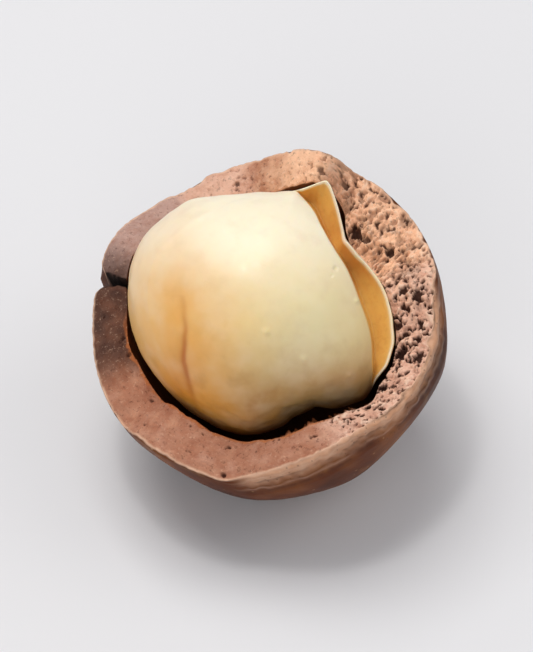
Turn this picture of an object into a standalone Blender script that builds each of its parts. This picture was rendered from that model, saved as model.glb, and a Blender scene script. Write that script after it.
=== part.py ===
"""Macadamia nut lying in its opened shell.

The woody shell is a little more than half of a hollow ball, with a rough broken rim and a saw slot.
The cream kernel lies loose inside it. Metres, +Z up, origin at the middle of the small flat spot that
the shell rests on. The open side faces up and a little to the front, -Y.
"""

import math
import random

import bmesh
import bpy
import numpy as np
from mathutils import Euler, Vector

MM = 0.001

# Driving dimensions. The kernel's own axis faces the front at 48 degrees over the ground
NUT_RADIUS = 12.5 * MM
CAVITY_RADIUS = 9.4 * MM
REST_FLAT_RADIUS = 2.2 * MM
SHELL_LEAN_DEG = (13.06, -15.8, 0.0)
KERNEL_LEAN_DEG = (42.0, 0.0, 0.0)
KERNEL_CENTRE = (-0.5 * MM, 0.6 * MM)
KERNEL_FRONT = 8.5 * MM
KERNEL_BACK = 8.8 * MM
BACK_FILL = 0.07
CLEARANCE = 0.45 * MM

# Degrees round the nut's axis, then the height of the rim's outer edge over the nut's middle
RIM_HEIGHTS_MM = (
    (5, 0.6), (22, 0.2), (32, 0.4), (42, 0.8), (51, 0.9), (55, 1.5), (60, 3.3), (65, 3.7),
    (72, 3.0), (78, 2.1), (91, 1.0), (106, 0.9), (116, 0.6), (120, 1.1), (130, 1.9), (140, 3.3),
    (148, 3.9), (156, 3.2), (167, 1.9), (178, 1.2), (190, 0.9), (201, 0.7), (209, 0.2), (221, 1.3),
    (233, 1.2), (245, 0.6), (256, -0.1), (264, 0.25), (276, 0.7), (288, 0.9), (299, 0.9), (311, 0.0),
    (322, -0.6), (333, -1.0), (343, -1.1), (353, -0.4),
)
# Degrees, then the thickness of the wall at the rim
RIM_WALL_MM = (
    (5, 3.65), (19, 4.25), (33, 4.65), (44, 3.9), (52, 2.6), (58, 2.0), (69, 2.6), (90, 2.9), (120, 2.7),
    (140, 2.3), (152, 2.1), (167, 2.55), (181, 2.65), (191, 3.05), (207, 3.3), (230, 3.45), (243, 3.2),
    (258, 3.25), (276, 2.9), (287, 2.95), (300, 2.45), (312, 2.2), (321, 2.8), (332, 2.85), (342, 3.1),
    (352, 3.4),
)
# Degrees, then how far the rim's inner edge lies below its outer edge
RIM_FALL_MM = ((0, 0.5), (25, 1.2), (45, 1.1), (60, 0.9), (100, 0.3), (180, 0.1), (250, 0.1), (320, 0.4))
CAVITY_BLEND_DEG = 45.0
RIM_CROWN = 0.22 * MM
SAW_SLOT = {"azimuth": 159.0, "width": 0.5 * MM, "depth": 2.2 * MM}
POROUS_FROM_DEG, POROUS_TO_DEG = -62.0, 56.0
PIT_DEPTH = 0.4 * MM
PIT_SHARE = 0.2
SCAR = {"azimuth": 105.0, "polar": 42.0, "radius": 2.6 * MM, "height": 0.12 * MM}
# Swells and hollows of the skin: azimuth, elevation, width and reach in degrees, then height in mm
SWELLS = (
    (-132.0, -16.0, 16.0, 14.0, -0.45), (-16.0, -22.0, 14.0, 9.0, 0.32), (-46.0, -30.0, 9.0, 12.0, -0.1),
    (-70.0, -32.0, 10.0, 12.0, 0.16),
)

# Degrees round the kernel's own axis, then the kernel's girth at its widest level
KERNEL_GIRTH_MM = (
    (8, 8.8), (22, 8.4), (36, 8.1), (48, 8.4), (61, 8.9), (73, 8.85), (84, 8.45), (95, 8.4), (110, 8.75),
    (123, 9.35), (135, 9.45), (148, 9.65), (159, 9.6), (168, 9.4), (181, 9.1), (196, 8.8), (212, 8.5),
    (226, 8.4), (240, 8.45), (262, 8.65), (280, 8.15), (290, 7.7), (300, 7.7), (308, 8.5), (315, 9.05),
    (322, 9.5), (332, 9.5), (342, 9.4), (352, 9.2),
)
# The fold: reach and height of the body's edge, then of the thin lip
EDGE_REACH_MM = (
    (-38, 9.35), (-34, 9.3), (-31, 9.15), (-28, 8.95), (-24, 8.65), (-14, 8.0), (-6, 7.55), (8, 6.9),
    (22, 6.75), (36, 6.75), (45, 6.9), (54, 7.3), (61, 7.9), (65, 8.2), (70, 8.6), (73.3, 8.82),
    (76, 8.75), (82, 8.5),
)
EDGE_HEIGHT_MM = (
    (-38, 1.7), (-34, 1.8), (-31, 2.3), (-28, 2.9), (-24, 3.5), (-14, 4.1), (-6, 4.5), (8, 5.0), (22, 5.15),
    (36, 5.2), (45, 5.0), (54, 4.4), (61, 3.4), (65, 2.6), (70, 1.7), (73.3, 1.25), (76, 1.1), (82, 1.1),
)
LIP_REACH_MM = (
    (-38, 9.45), (-34, 9.42), (-31, 9.42), (-27, 9.5), (-22, 9.62), (-14, 9.55), (-6, 9.3), (3, 9.1),
    (11, 8.9), (22, 8.32), (32, 7.86), (39, 7.8), (45, 8.25), (53.5, 9.2), (59, 9.95), (61, 10.22),
    (63, 10.36), (65, 10.08), (68.3, 9.52), (71, 9.15), (73.3, 8.92), (76, 8.8), (82, 8.55),
)
LIP_HEIGHT_MM = (
    (-38, 1.5), (-34, 1.6), (-31, 2.0), (-27, 2.5), (-22, 2.8), (-14, 2.7), (-6, 2.6), (8, 2.4), (22, 2.3),
    (36, 2.5), (45, 2.1), (54, 1.8), (61, 1.5), (65, 1.4), (70, 1.25), (73.3, 1.05), (76, 0.9), (82, 0.9),
)
FOLD_FADES_DEG = ((-36.0, -31.0), (73.0, 76.0))
FOLD_STEEPNESS = 0.9
FOLD_DEPTH = 1.3 * MM
LIP_THICKNESS = 0.36 * MM
CREASE_MM = ((-6.4, -4.8), (-5.2, -5.15), (-2.8, -5.75), (-0.7, -5.6), (1.8, -5.8))
CREASE_WIDTH = 0.35 * MM
CREASE_DEPTH = 0.16 * MM

# How finely the solids are drawn
SHELL_COLUMNS = 120
OUTER_RINGS, RIM_RINGS, INNER_RINGS = 14, 8, 8
KERNEL_COLUMNS = 64
BODY_RINGS, BACK_RINGS = 11, 11
# Degrees from the crown of the body's last ring and the fold's last ring, away from the fold and beside it
BODY_END_DEG = 54.0
FOLD_ENDS_DEG = (73.0, 86.0)
RING_SHIFT_DEG = 50.0

SHELL_COLOUR = (0.235, 0.105, 0.042, 1.0)
KERNEL_COLOUR = (0.80, 0.66, 0.40, 1.0)


def clear_scene():
    """Removes whatever the scene starts with."""
    for obj in list(bpy.data.objects):
        bpy.data.objects.remove(obj)


def round_curve(points, degrees):
    """Values of a smooth closed curve through a table of degrees and values."""
    knots, values = np.array(points, float).T
    spans = (np.roll(knots, -1) - knots) % 360.0
    rises = (np.roll(values, -1) - values) / spans
    before = np.roll(rises, 1)
    level = before * rises <= 0
    slopes = np.where(level, 0.0, 2 * before * rises / np.where(level, 1.0, before + rises))
    angle = (np.asarray(degrees, float) - knots[0]) % 360.0 + knots[0]
    low = np.searchsorted(knots, angle, side="right") - 1
    high = (low + 1) % len(knots)
    t = (angle - knots[low]) / spans[low]
    return (
        values[low] * (1 + 2 * t) * (1 - t) ** 2
        + values[high] * t**2 * (3 - 2 * t)
        + spans[low] * (slopes[low] * t * (1 - t) ** 2 - slopes[high] * t**2 * (1 - t))
    )


def eased(share):
    """A smooth step from 0 to 1."""
    share = np.clip(share, 0.0, 1.0)
    return share * share * (3 - 2 * share)


def turned(degrees_apart):
    """An angle difference brought between -180 and 180 degrees."""
    return (degrees_apart + 180.0) % 360.0 - 180.0


def blurred(values, reach):
    """Values round a closed ring, each the mean of those up to some columns away on both sides."""
    return np.mean([np.roll(values, step) for step in range(-reach, reach + 1)], axis=0)


def slot_half_angle():
    """Half of the angle that the saw slot takes up round the rim."""
    return math.degrees(SAW_SLOT["width"] / NUT_RADIUS) / 2


def rim_edges(azimuth, sawn):
    """Reach and height of the rim's outer edge and of its inner edge, with or without the saw slot."""
    top = round_curve(RIM_HEIGHTS_MM, azimuth) * MM
    if sawn:
        in_slot = np.abs(turned(azimuth - SAW_SLOT["azimuth"])) <= slot_half_angle() * 1.01
        top = top - SAW_SLOT["depth"] * in_slot
    reach = np.sqrt(NUT_RADIUS**2 - top**2)
    wall = round_curve(RIM_WALL_MM, azimuth) * MM
    fall = round_curve(RIM_FALL_MM, azimuth) * MM
    return (reach, top), (reach - wall, top - fall)


def directions(azimuth, elevation):
    """Unit vectors for an azimuth and an elevation over the plane through the nut's middle."""
    a, e = np.radians(azimuth), np.radians(elevation)
    return np.stack([np.cos(e) * np.cos(a), np.cos(e) * np.sin(a), np.sin(e)], axis=-1)


def outside_radius(ways):
    """Distance of the skin from the nut's middle, with slow swells, hollows and the scar where it grew."""
    x, y, z = np.moveaxis(ways, -1, 0)
    swell = 0.004 * np.sin(2.1 * x + 3.0 * y) + 0.004 * np.cos(2.6 * z - 1.7 * x) - 0.006 * x * y
    scar = directions(SCAR["azimuth"], SCAR["polar"] - 90.0)
    apart = np.arccos(np.clip(ways @ scar, -1, 1)) * NUT_RADIUS / SCAR["radius"]
    radius = NUT_RADIUS * (1 + swell) + SCAR["height"] * np.exp(-(apart**4))
    azimuth, elevation = np.degrees(np.arctan2(y, x)), np.degrees(np.arcsin(np.clip(z, -1, 1)))
    for middle, height, width, reach, lift in SWELLS:
        away = (turned(azimuth - middle) / width) ** 2 + ((elevation - height) / reach) ** 2
        radius = radius + lift * MM * np.exp(-away)
    return radius


def inside_radius(azimuth, elevation, sawn):
    """Distance of the cavity's wall from the nut's middle: round below, as thick as the rim above."""
    reach, height = rim_edges(azimuth, sawn)[1]
    rim_elevation = np.degrees(np.arctan2(height, reach))
    blend = eased(1 + (elevation - rim_elevation) / CAVITY_BLEND_DEG)
    return CAVITY_RADIUS + (np.hypot(reach, height) - CAVITY_RADIUS) * blend


def column_azimuths():
    """Azimuths of the shell's columns: even steps, with the walls of the saw slot as near pairs."""
    half = slot_half_angle()
    walls = [SAW_SLOT["azimuth"] + side * half * k for side in (-1, 1) for k in (1.0, 1.25)]
    step = 360.0 / SHELL_COLUMNS
    even = [i * step for i in range(SHELL_COLUMNS)]
    kept = [a for a in even if abs(turned(a - SAW_SLOT["azimuth"])) > half * 1.25 + step / 4]
    return np.array(sorted(kept + walls))


def rim_rings(azimuth, outer_edge, inner_edge):
    """Rings across the broken face of the rim, grainy all round and pitted where it is porous."""
    dice = random.Random(7)
    porous = turned(azimuth - POROUS_FROM_DEG) >= 0
    porous &= turned(azimuth - POROUS_TO_DEG) <= 0
    rings = []
    for i in range(1, RIM_RINGS):
        share = i / RIM_RINGS
        ring = outer_edge * (1 - share) + inner_edge * share
        pits = np.array([dice.random() < PIT_SHARE for _ in azimuth]) & porous
        grain = np.array([dice.uniform(-0.06, 0.06) for _ in azimuth]) * MM
        ring[:, 2] += RIM_CROWN * math.sin(math.pi * share) + grain - PIT_DEPTH * pits
        rings.append(ring)
    return rings


def shell_rings():
    """Rings of points from the foot of the skin over the rim to the foot of the cavity."""
    azimuth = column_azimuths()
    (outer_reach, outer_height), (inner_reach, inner_height) = rim_edges(azimuth, sawn=True)
    outer_top = 90.0 + np.degrees(np.arctan2(outer_height, outer_reach))
    inner_top = 90.0 + np.degrees(np.arctan2(inner_height, inner_reach))
    skin = []
    for i in range(1, OUTER_RINGS + 1):
        ways = directions(azimuth, outer_top * (i / OUTER_RINGS) ** 0.9 - 90.0)
        skin.append(ways * outside_radius(ways)[:, None])
    cavity = []
    for i in range(INNER_RINGS):
        elevation = inner_top * (1 - i / INNER_RINGS) - 90.0
        radius = inside_radius(azimuth, elevation, sawn=True)
        cavity.append(directions(azimuth, elevation) * radius[:, None])
    foot = directions(0.0, -90.0)
    poles = (foot * outside_radius(foot), foot * CAVITY_RADIUS)
    return skin + rim_rings(azimuth, skin[-1], cavity[0]) + cavity, poles


def mesh_from_rings(name, rings, poles):
    """A closed mesh: a fan at each pole and a band of quads between each two rings."""
    mesh_data = bmesh.new()
    first, last = (mesh_data.verts.new(pole) for pole in poles)
    rows = [[mesh_data.verts.new(point) for point in ring] for ring in rings]
    count = len(rows[0])
    for i in range(count):
        j = (i + 1) % count
        mesh_data.faces.new((first, rows[0][j], rows[0][i]))
        mesh_data.faces.new((last, rows[-1][i], rows[-1][j]))
        for low, high in zip(rows, rows[1:]):
            mesh_data.faces.new((low[i], low[j], high[j], high[i]))
    bmesh.ops.recalc_face_normals(mesh_data, faces=mesh_data.faces)
    mesh = bpy.data.meshes.new(name)
    mesh_data.to_mesh(mesh)
    mesh_data.free()
    return mesh


def rest_height():
    """Height of the nut's middle over the flat spot."""
    return math.sqrt(NUT_RADIUS**2 - REST_FLAT_RADIUS**2)


def cut_rest_flat(mesh, lean):
    """Slices the foot of the leaning shell off level, which leaves its flat spot."""
    down = lean.to_matrix().transposed() @ Vector((0, 0, -1))
    mesh_data = bmesh.new()
    mesh_data.from_mesh(mesh)
    bmesh.ops.bisect_plane(
        mesh_data,
        geom=mesh_data.verts[:] + mesh_data.edges[:] + mesh_data.faces[:],
        plane_co=down * rest_height(),
        plane_no=down,
        clear_outer=True,
    )
    open_edges = [edge for edge in mesh_data.edges if edge.is_boundary]
    bmesh.ops.contextual_create(mesh_data, geom=open_edges)
    bmesh.ops.recalc_face_normals(mesh_data, faces=mesh_data.faces)
    mesh_data.to_mesh(mesh)
    mesh_data.free()


def fold_strength(azimuth):
    """1 where the kernel is folded, 0 where it is round, with a fade at each end of the fold."""
    apart = turned(azimuth)
    (start, full), (fade, end) = FOLD_FADES_DEG
    return eased((apart - start) / (full - start)) * (1 - eased((apart - fade) / (end - fade)))


def ring_angles(azimuth):
    """Degrees from the crown of the body's last ring and of the fold's last ring."""
    (start, _), (_, end) = FOLD_FADES_DEG
    middle, half = (start + end) / 2, (end - start) / 2
    shift = 1 - eased((np.abs(turned(azimuth - middle)) - half) / RING_SHIFT_DEG)
    at_edge = np.degrees(np.arccos(round_curve(EDGE_HEIGHT_MM, azimuth) * MM / KERNEL_FRONT))
    body = BODY_END_DEG + (at_edge - BODY_END_DEG) * shift
    return body, FOLD_ENDS_DEG[0] + (FOLD_ENDS_DEG[1] - FOLD_ENDS_DEG[0]) * shift


def body_profile(azimuth, fold):
    """Reach and height of each ring from the crown of the kernel to the edge of its body."""
    girth = round_curve(KERNEL_GIRTH_MM, azimuth) * MM
    last_angle = ring_angles(azimuth)[0]
    folded_girth = round_curve(EDGE_REACH_MM, azimuth) * MM / np.sin(np.radians(last_angle))
    width = girth + (folded_girth - girth) * fold
    rounder = blurred(width, len(azimuth) // 20)
    profile = []
    for i in range(1, BODY_RINGS + 1):
        angle = np.radians(last_angle * i / BODY_RINGS)
        towards_edge = np.minimum(angle / math.radians(75.0), 1.0)
        girth_here = rounder + (width - rounder) * towards_edge**6
        swelled = KERNEL_FRONT + (girth_here - KERNEL_FRONT) * eased(towards_edge)
        profile.append((swelled * np.sin(angle), KERNEL_FRONT * np.cos(angle)))
    return profile


def lip_thickness(azimuth):
    """Thickness of the lip, which thins out where the fold closes."""
    open_width = (round_curve(LIP_REACH_MM, azimuth) - round_curve(EDGE_REACH_MM, azimuth)) * MM
    return np.minimum(LIP_THICKNESS, open_width / 2)


def fold_profile(azimuth, fold):
    """Reach and height of each ring down into the fold, up its slope and over the lip."""
    girth = round_curve(KERNEL_GIRTH_MM, azimuth) * MM
    edge_reach, edge_height, lip_reach, lip_height = (
        round_curve(table, azimuth) * MM
        for table in (EDGE_REACH_MM, EDGE_HEIGHT_MM, LIP_REACH_MM, LIP_HEIGHT_MM)
    )
    thickness = lip_thickness(azimuth)
    inner_reach = lip_reach - thickness
    floor = lip_height - np.minimum(FOLD_STEEPNESS * (lip_reach - edge_reach), FOLD_DEPTH)
    open_width = inner_reach - edge_reach
    folded = (
        (edge_reach + 0.04 * open_width, edge_height * 0.55 + floor * 0.45),
        (edge_reach + 0.12 * open_width, floor),
        (edge_reach + 0.40 * open_width, floor + 0.14 * (lip_height - floor)),
        (edge_reach + 0.75 * open_width, floor + 0.52 * (lip_height - floor)),
        (inner_reach, lip_height - 0.08 * MM),
        (lip_reach - 0.4 * thickness, lip_height + 0.03 * MM),
        (lip_reach, lip_height - 0.15 * MM),
    )
    profile = []
    first, last = np.radians(ring_angles(azimuth))
    for number, (reach, height) in enumerate(folded, 1):
        angle = first + (last - first) * number / len(folded)
        round_reach = girth * np.sin(angle)
        round_height = KERNEL_FRONT * np.cos(angle)
        profile.append((
            round_reach + (reach - round_reach) * fold,
            round_height + (height - round_height) * fold,
        ))
    return profile


def back_profile(azimuth, start):
    """Reach and height of each ring from under the lip round to the back of the kernel."""
    girth = round_curve(KERNEL_GIRTH_MM, azimuth) * MM
    first = np.radians(ring_angles(azimuth)[1])
    profile = []
    for i in range(1, BACK_RINGS):
        angle = first + (math.pi - first) * i / BACK_RINGS
        fade = (1 - i / BACK_RINGS) ** 3
        depth = np.where(angle < math.pi / 2, KERNEL_FRONT, KERNEL_BACK)
        reach = girth * np.sin(angle) + (start[0] - girth * np.sin(first)) * fade
        height = depth * np.cos(angle) + (start[1] - KERNEL_FRONT * np.cos(first)) * fade
        fill = 1 + BACK_FILL * np.sin(2 * angle) ** 2 * (angle > math.pi / 2)
        profile.append((reach * fill, height * fill))
    return profile


def creased(points):
    """Lowers the kernel's skin along the shallow crease on its left."""
    x, y, z = points.T
    line_y, line_x = np.array(CREASE_MM).T * MM
    along = np.clip((y - line_y[0]) / (line_y[-1] - line_y[0]), 0, 1)
    apart = (x - np.interp(y, line_y, line_x)) / CREASE_WIDTH
    depth = CREASE_DEPTH * np.exp(-(apart**2)) * np.sin(math.pi * along) * (z > 0)
    length = np.linalg.norm(points, axis=1)
    return points * (1 - depth / length)[:, None]


def kept_clear(points, kernel_to_shell, spare=0.0):
    """Draws in the kernel's points that would come too near the shell, by the clearance and a spare."""
    placed = points @ kernel_to_shell.T
    distance = np.linalg.norm(placed, axis=1)
    azimuth = np.degrees(np.arctan2(placed[:, 1], placed[:, 0]))
    elevation = np.degrees(np.arcsin(np.clip(placed[:, 2] / distance, -1, 1)))
    beside = azimuth + np.array([[-5.0], [0.0], [5.0]])
    rim_low = rim_edges(beside, sawn=False)[1][1].max(axis=0)
    wall = inside_radius(beside, elevation, sawn=False).min(axis=0)
    over_rim = np.maximum(placed[:, 2] - rim_low - 2 * CLEARANCE, 0.0)
    most = wall - CLEARANCE - spare + over_rim
    placed *= (np.minimum(distance, most) / distance)[:, None]
    return placed @ kernel_to_shell


def kernel_mesh(shell_lean, kernel_lean):
    """The kernel's closed skin: body, fold, lip and back."""
    kernel_to_shell = np.array(shell_lean.to_matrix().transposed() @ kernel_lean.to_matrix())
    azimuth = np.arange(KERNEL_COLUMNS) * 360.0 / KERNEL_COLUMNS
    fold = fold_strength(azimuth)
    profile = body_profile(azimuth, fold)
    profile += fold_profile(azimuth, fold)
    profile += back_profile(azimuth, profile[-1])
    a = np.radians(azimuth)
    in_fold = range(BODY_RINGS - 1, BODY_RINGS + 5)
    rings = []
    for i, (reach, height) in enumerate(profile):
        x = KERNEL_CENTRE[0] + reach * np.cos(a)
        y = KERNEL_CENTRE[1] + reach * np.sin(a)
        spare = lip_thickness(azimuth) * fold * (i in in_fold)
        points = creased(np.stack([x, y, height], axis=1))
        rings.append(kept_clear(points, kernel_to_shell, spare))
    poles = [np.array([[*KERNEL_CENTRE, height]]) for height in (KERNEL_FRONT, -KERNEL_BACK)]
    poles = [kept_clear(pole, kernel_to_shell)[0] for pole in poles]
    return mesh_from_rings("kernel", rings, poles)


def finish(name, colour, roughness):
    """A plain finish in the part's colour."""
    material = bpy.data.materials.new(name)
    material.use_nodes = True
    surface = material.node_tree.nodes["Principled BSDF"]
    surface.inputs["Base Color"].default_value = colour
    surface.inputs["Roughness"].default_value = roughness
    surface.inputs["Metallic"].default_value = 0.0
    return material


def add_object(mesh, parent, lean, material):
    """Links a mesh to the scene as an object that leans about the nut's middle."""
    obj = bpy.data.objects.new(mesh.name, mesh)
    bpy.context.scene.collection.objects.link(obj)
    obj.parent = parent
    obj.rotation_euler = lean
    mesh.materials.append(material)
    mesh.shade_smooth()
    mesh.set_sharp_from_angle(angle=math.radians(35))
    return obj


def build_nut():
    """Builds the shell and the kernel about the nut's middle, over the flat spot."""
    clear_scene()
    shell_lean = Euler([math.radians(a) for a in SHELL_LEAN_DEG])
    kernel_lean = Euler([math.radians(a) for a in KERNEL_LEAN_DEG])
    middle = bpy.data.objects.new("nut_middle", None)
    middle.location = (0, 0, rest_height())
    bpy.context.scene.collection.objects.link(middle)

    shell_mesh = mesh_from_rings("shell", *shell_rings())
    cut_rest_flat(shell_mesh, shell_lean)
    add_object(shell_mesh, middle, shell_lean, finish("shell_wood", SHELL_COLOUR, 0.42))

    flesh = finish("kernel_flesh", KERNEL_COLOUR, 0.38)
    add_object(kernel_mesh(shell_lean, kernel_lean), middle, kernel_lean, flesh)


build_nut()
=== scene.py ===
"""Looks of an opened macadamia nut: a broken woody shell with its kernel lying in it.

Metres, +Z up. Each piece starts as a cylinder cut into rings, and the rings are laid along a profile: over
the skin, the broken rim and the cavity for the shell, over the body, the fold, the lip and the back for
the kernel.
"""

import functools
import itertools
import logging
import math
from dataclasses import dataclass, field
from enum import Enum
from typing import Any, Sequence

import bpy
import numpy as np
from mathutils import Euler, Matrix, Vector


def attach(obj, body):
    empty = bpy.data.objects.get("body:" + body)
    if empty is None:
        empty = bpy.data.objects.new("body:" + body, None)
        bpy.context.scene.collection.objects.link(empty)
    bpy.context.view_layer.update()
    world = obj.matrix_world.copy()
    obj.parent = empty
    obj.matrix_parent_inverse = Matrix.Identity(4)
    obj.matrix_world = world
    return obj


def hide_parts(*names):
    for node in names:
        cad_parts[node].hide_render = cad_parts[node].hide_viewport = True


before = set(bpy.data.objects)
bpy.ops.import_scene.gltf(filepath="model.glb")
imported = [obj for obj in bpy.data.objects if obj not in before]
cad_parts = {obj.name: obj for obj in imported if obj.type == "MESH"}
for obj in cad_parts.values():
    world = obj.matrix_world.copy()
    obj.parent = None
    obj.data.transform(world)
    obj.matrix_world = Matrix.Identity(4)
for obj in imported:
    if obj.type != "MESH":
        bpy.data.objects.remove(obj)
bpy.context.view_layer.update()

MM = 0.001
NUT_RADIUS = 12.5 * MM
REST_FLAT_RADIUS = 2.2 * MM
REST_HEIGHT = math.sqrt(NUT_RADIUS**2 - REST_FLAT_RADIUS**2)
SHELL_LEAN = Euler([math.radians(a) for a in (13.06, -15.8, 0.0)])
KERNEL_LEAN = Euler([math.radians(a) for a in (42.0, 0.0, 0.0)])

log = logging.getLogger("macadamia")

Array = np.ndarray
Colour = tuple[float, float, float]
Arcs = tuple[tuple[float, float, float, float], ...]


def srgb(red: int, green: int, blue: int) -> Colour:
    """Linear colour of a display colour given as three numbers from 0 to 255."""
    return tuple(((c / 255 + 0.055) / 1.055) ** 2.4 if c > 10 else c / 3295 for c in (red, green, blue))


def eased(share: Array | float) -> Array:
    """A smooth step from 0 to 1."""
    share = np.clip(share, 0.0, 1.0)
    return share * share * (3 - 2 * share)


def turned(degrees_apart: Array | float) -> Array:
    """An angle difference brought between -180 and 180 degrees."""
    return (degrees_apart + 180.0) % 360.0 - 180.0


def arc(azimuth: Array, start: float, end: float, fade: float) -> Array:
    """1 on the arc from start to end, in degrees, fading to 0 outside it over fade degrees.

    Args:
        azimuth: degrees round the axis.
        start: where the arc begins.
        end: where it ends.
        fade: degrees over which it fades.

    Returns:
        The values, from 0 to 1.
    """
    middle = start + (end - start) % 360.0 / 2
    half = (end - start) % 360.0 / 2
    return 1 - eased((np.abs(turned(azimuth - middle)) - half) / fade)


def arcs(azimuth: Array, parts: Arcs) -> Array:
    """Sum of arcs round an axis, each given as (start, end, fade, strength)."""
    return sum(strength * arc(azimuth, start, end, fade) for start, end, fade, strength in parts)


def spot(x: Array, y: Array, middle: tuple[float, float], size: tuple[float, float]) -> Array:
    """1 in the middle of an oval spot, falling towards 0 over its half width and half height."""
    return np.exp(-(((x - middle[0]) / size[0]) ** 2) - ((y - middle[1]) / size[1]) ** 2)


def blurred(values: Array, reach: int) -> Array:
    """Values round a closed ring, each the mean of those up to some columns away on both sides."""
    return np.mean([np.roll(values, step) for step in range(-reach, reach + 1)], axis=0)


@functools.cache
def lattice(seed: int) -> tuple[Array, Array]:
    """A shuffled order of 256 numbers and a vector for each, the same each run for one seed."""
    dice = np.random.default_rng(seed)
    return dice.permutation(256), dice.uniform(-1, 1, (256, 3))


def scattered(cell: Array, seed: int) -> Array:
    """A vector with parts from -1 to 1 for each whole-numbered cell.

    Args:
        cell: whole numbers, with x, y, z on the last axis.
        seed: tells one use from another.

    Returns:
        The vectors, on a last axis of three.
    """
    order, vectors = lattice(seed)
    x, y, z = np.moveaxis(cell, -1, 0)
    return vectors[order[(order[(order[x & 255] + y) & 255] + z) & 255]]


def rough(points: Array, size: float, seed: int = 0, stretch: Sequence[float] = (1, 1, 1)) -> Array:
    """Smooth noise from about -1 to 1 at each point.

    Args:
        points: places, with x, y, z on the last axis.
        size: distance over which the noise changes, in metres.
        seed: tells one use of the noise from another.
        stretch: factors on x, y and z before the noise is read.

    Returns:
        One value for each point.
    """
    flat = points * np.array(stretch) / size
    low = np.floor(flat).astype(int)
    part = flat - low
    ease = part**3 * (part * (6 * part - 15) + 10)
    total = np.zeros(flat.shape[:-1])
    for corner in itertools.product((0, 1), repeat=3):
        pull = np.sum(scattered(low + np.array(corner), seed) * (part - corner), axis=-1)
        total += pull * np.prod(np.where(corner, ease, 1 - ease), axis=-1)
    return total * 1.4


def bent(points: Array, amount: float, size: float, seed: int) -> Array:
    """Points pushed about by noise, so that a pattern read at them is less regular."""
    return points + amount * rough(points, size, seed)[..., None]


def off_cells(points: Array, size: float, seed: int) -> Array:
    """Distance from each point to the nearest of a set of scattered cell middles.

    Args:
        points: places, with x, y, z on the last axis.
        size: the cells' size, in metres.
        seed: tells one use of the cells from another.

    Returns:
        The distances, in cell sizes.
    """
    flat = points / size
    low = np.floor(flat).astype(int)
    nearest = np.full(flat.shape[:-1], np.inf)
    for step in itertools.product((-1, 0, 1), repeat=3):
        cell = low + np.array(step)
        apart = np.linalg.norm(flat - cell - 0.5 - 0.45 * scattered(cell, seed), axis=-1)
        nearest = np.minimum(nearest, apart)
    return nearest


def gathered(share: Array, even: float, power: float) -> Array:
    """Shares from 0 to 1 drawn towards 0: partly even and the rest by a power."""
    return even * share + (1 - even) * share**power


@dataclass(frozen=True)
class Noise:
    """Noise in layers, each given as (height, size in millimetres, seed) and, if wanted, its stretch."""

    layers: tuple[tuple[Any, ...], ...]

    def at(self, points: Array, unit: float = MM) -> Array:
        """The layers' sum at each point, for points in metres or, with a unit of 1, in millimetres."""
        return sum(height * rough(points, size * unit, *rest) for height, size, *rest in self.layers)


@dataclass(frozen=True)
class Holes:
    """Holes where noise rises over a threshold, with walls that fall over a softness."""

    noise: Noise
    depth: float
    threshold: float
    softness: float = 0.2

    def at(self, points: Array) -> Array:
        """Depth of the holes in millimetres."""
        return self.depth * eased((self.noise.at(points) - self.threshold) / self.softness)


@dataclass(frozen=True)
class RoundCurve:
    """A smooth closed curve of values round an axis, through (degrees, value) points."""

    points: tuple[tuple[float, float], ...]

    def at(self, degrees: Array) -> Array:
        """Values of the curve.

        Args:
            degrees: where round the axis.

        Returns:
            The value at each place.
        """
        knots, values = np.array(self.points, float).T
        spans = (np.roll(knots, -1) - knots) % 360.0
        rises = (np.roll(values, -1) - values) / spans
        before = np.roll(rises, 1)
        level = before * rises <= 0
        slopes = np.where(level, 0.0, 2 * before * rises / np.where(level, 1.0, before + rises))
        angle = (np.asarray(degrees, float) - knots[0]) % 360.0 + knots[0]
        low = np.searchsorted(knots, angle, side="right") - 1
        high = (low + 1) % len(knots)
        t = (angle - knots[low]) / spans[low]
        start = values[low] * (1 + 2 * t) * (1 - t) ** 2 + values[high] * t**2 * (3 - 2 * t)
        return start + spans[low] * (slopes[low] * t * (1 - t) ** 2 - slopes[high] * t**2 * (1 - t))


class Wire:
    """A shader socket that does arithmetic: an expression on it adds its Math nodes."""

    def __init__(self, graph: "Graph", socket: bpy.types.NodeSocket) -> None:
        """Wraps one output socket of a graph."""
        self.graph = graph
        self.socket = socket

    def maths(self, operation: str, *values: "Wire | float") -> "Wire":
        """A Math node on these values.

        Args:
            operation: the node's operation.
            values: its inputs in order.

        Returns:
            The node's output.
        """
        return self.graph.node("Math", {"operation": operation}, dict(enumerate(values)))

    def __add__(self, other: "Wire | float") -> "Wire":
        """The sum."""
        return self.maths("ADD", self, other)

    __radd__ = __add__

    def __rsub__(self, other: float) -> "Wire":
        """The difference, taken from a number."""
        return self.maths("SUBTRACT", other, self)

    def __mul__(self, other: "Wire | float") -> "Wire":
        """The product."""
        return self.maths("MULTIPLY", self, other)

    __rmul__ = __mul__

    def between(self, low: float, high: float) -> "Wire":
        """0 below low, 1 above high and a smooth step between; falling if low is over high."""
        stops = {"From Min": low, "From Max": high}
        return self.graph.node("MapRange", {"interpolation_type": "SMOOTHSTEP"}, {"Value": self, **stops})


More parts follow.
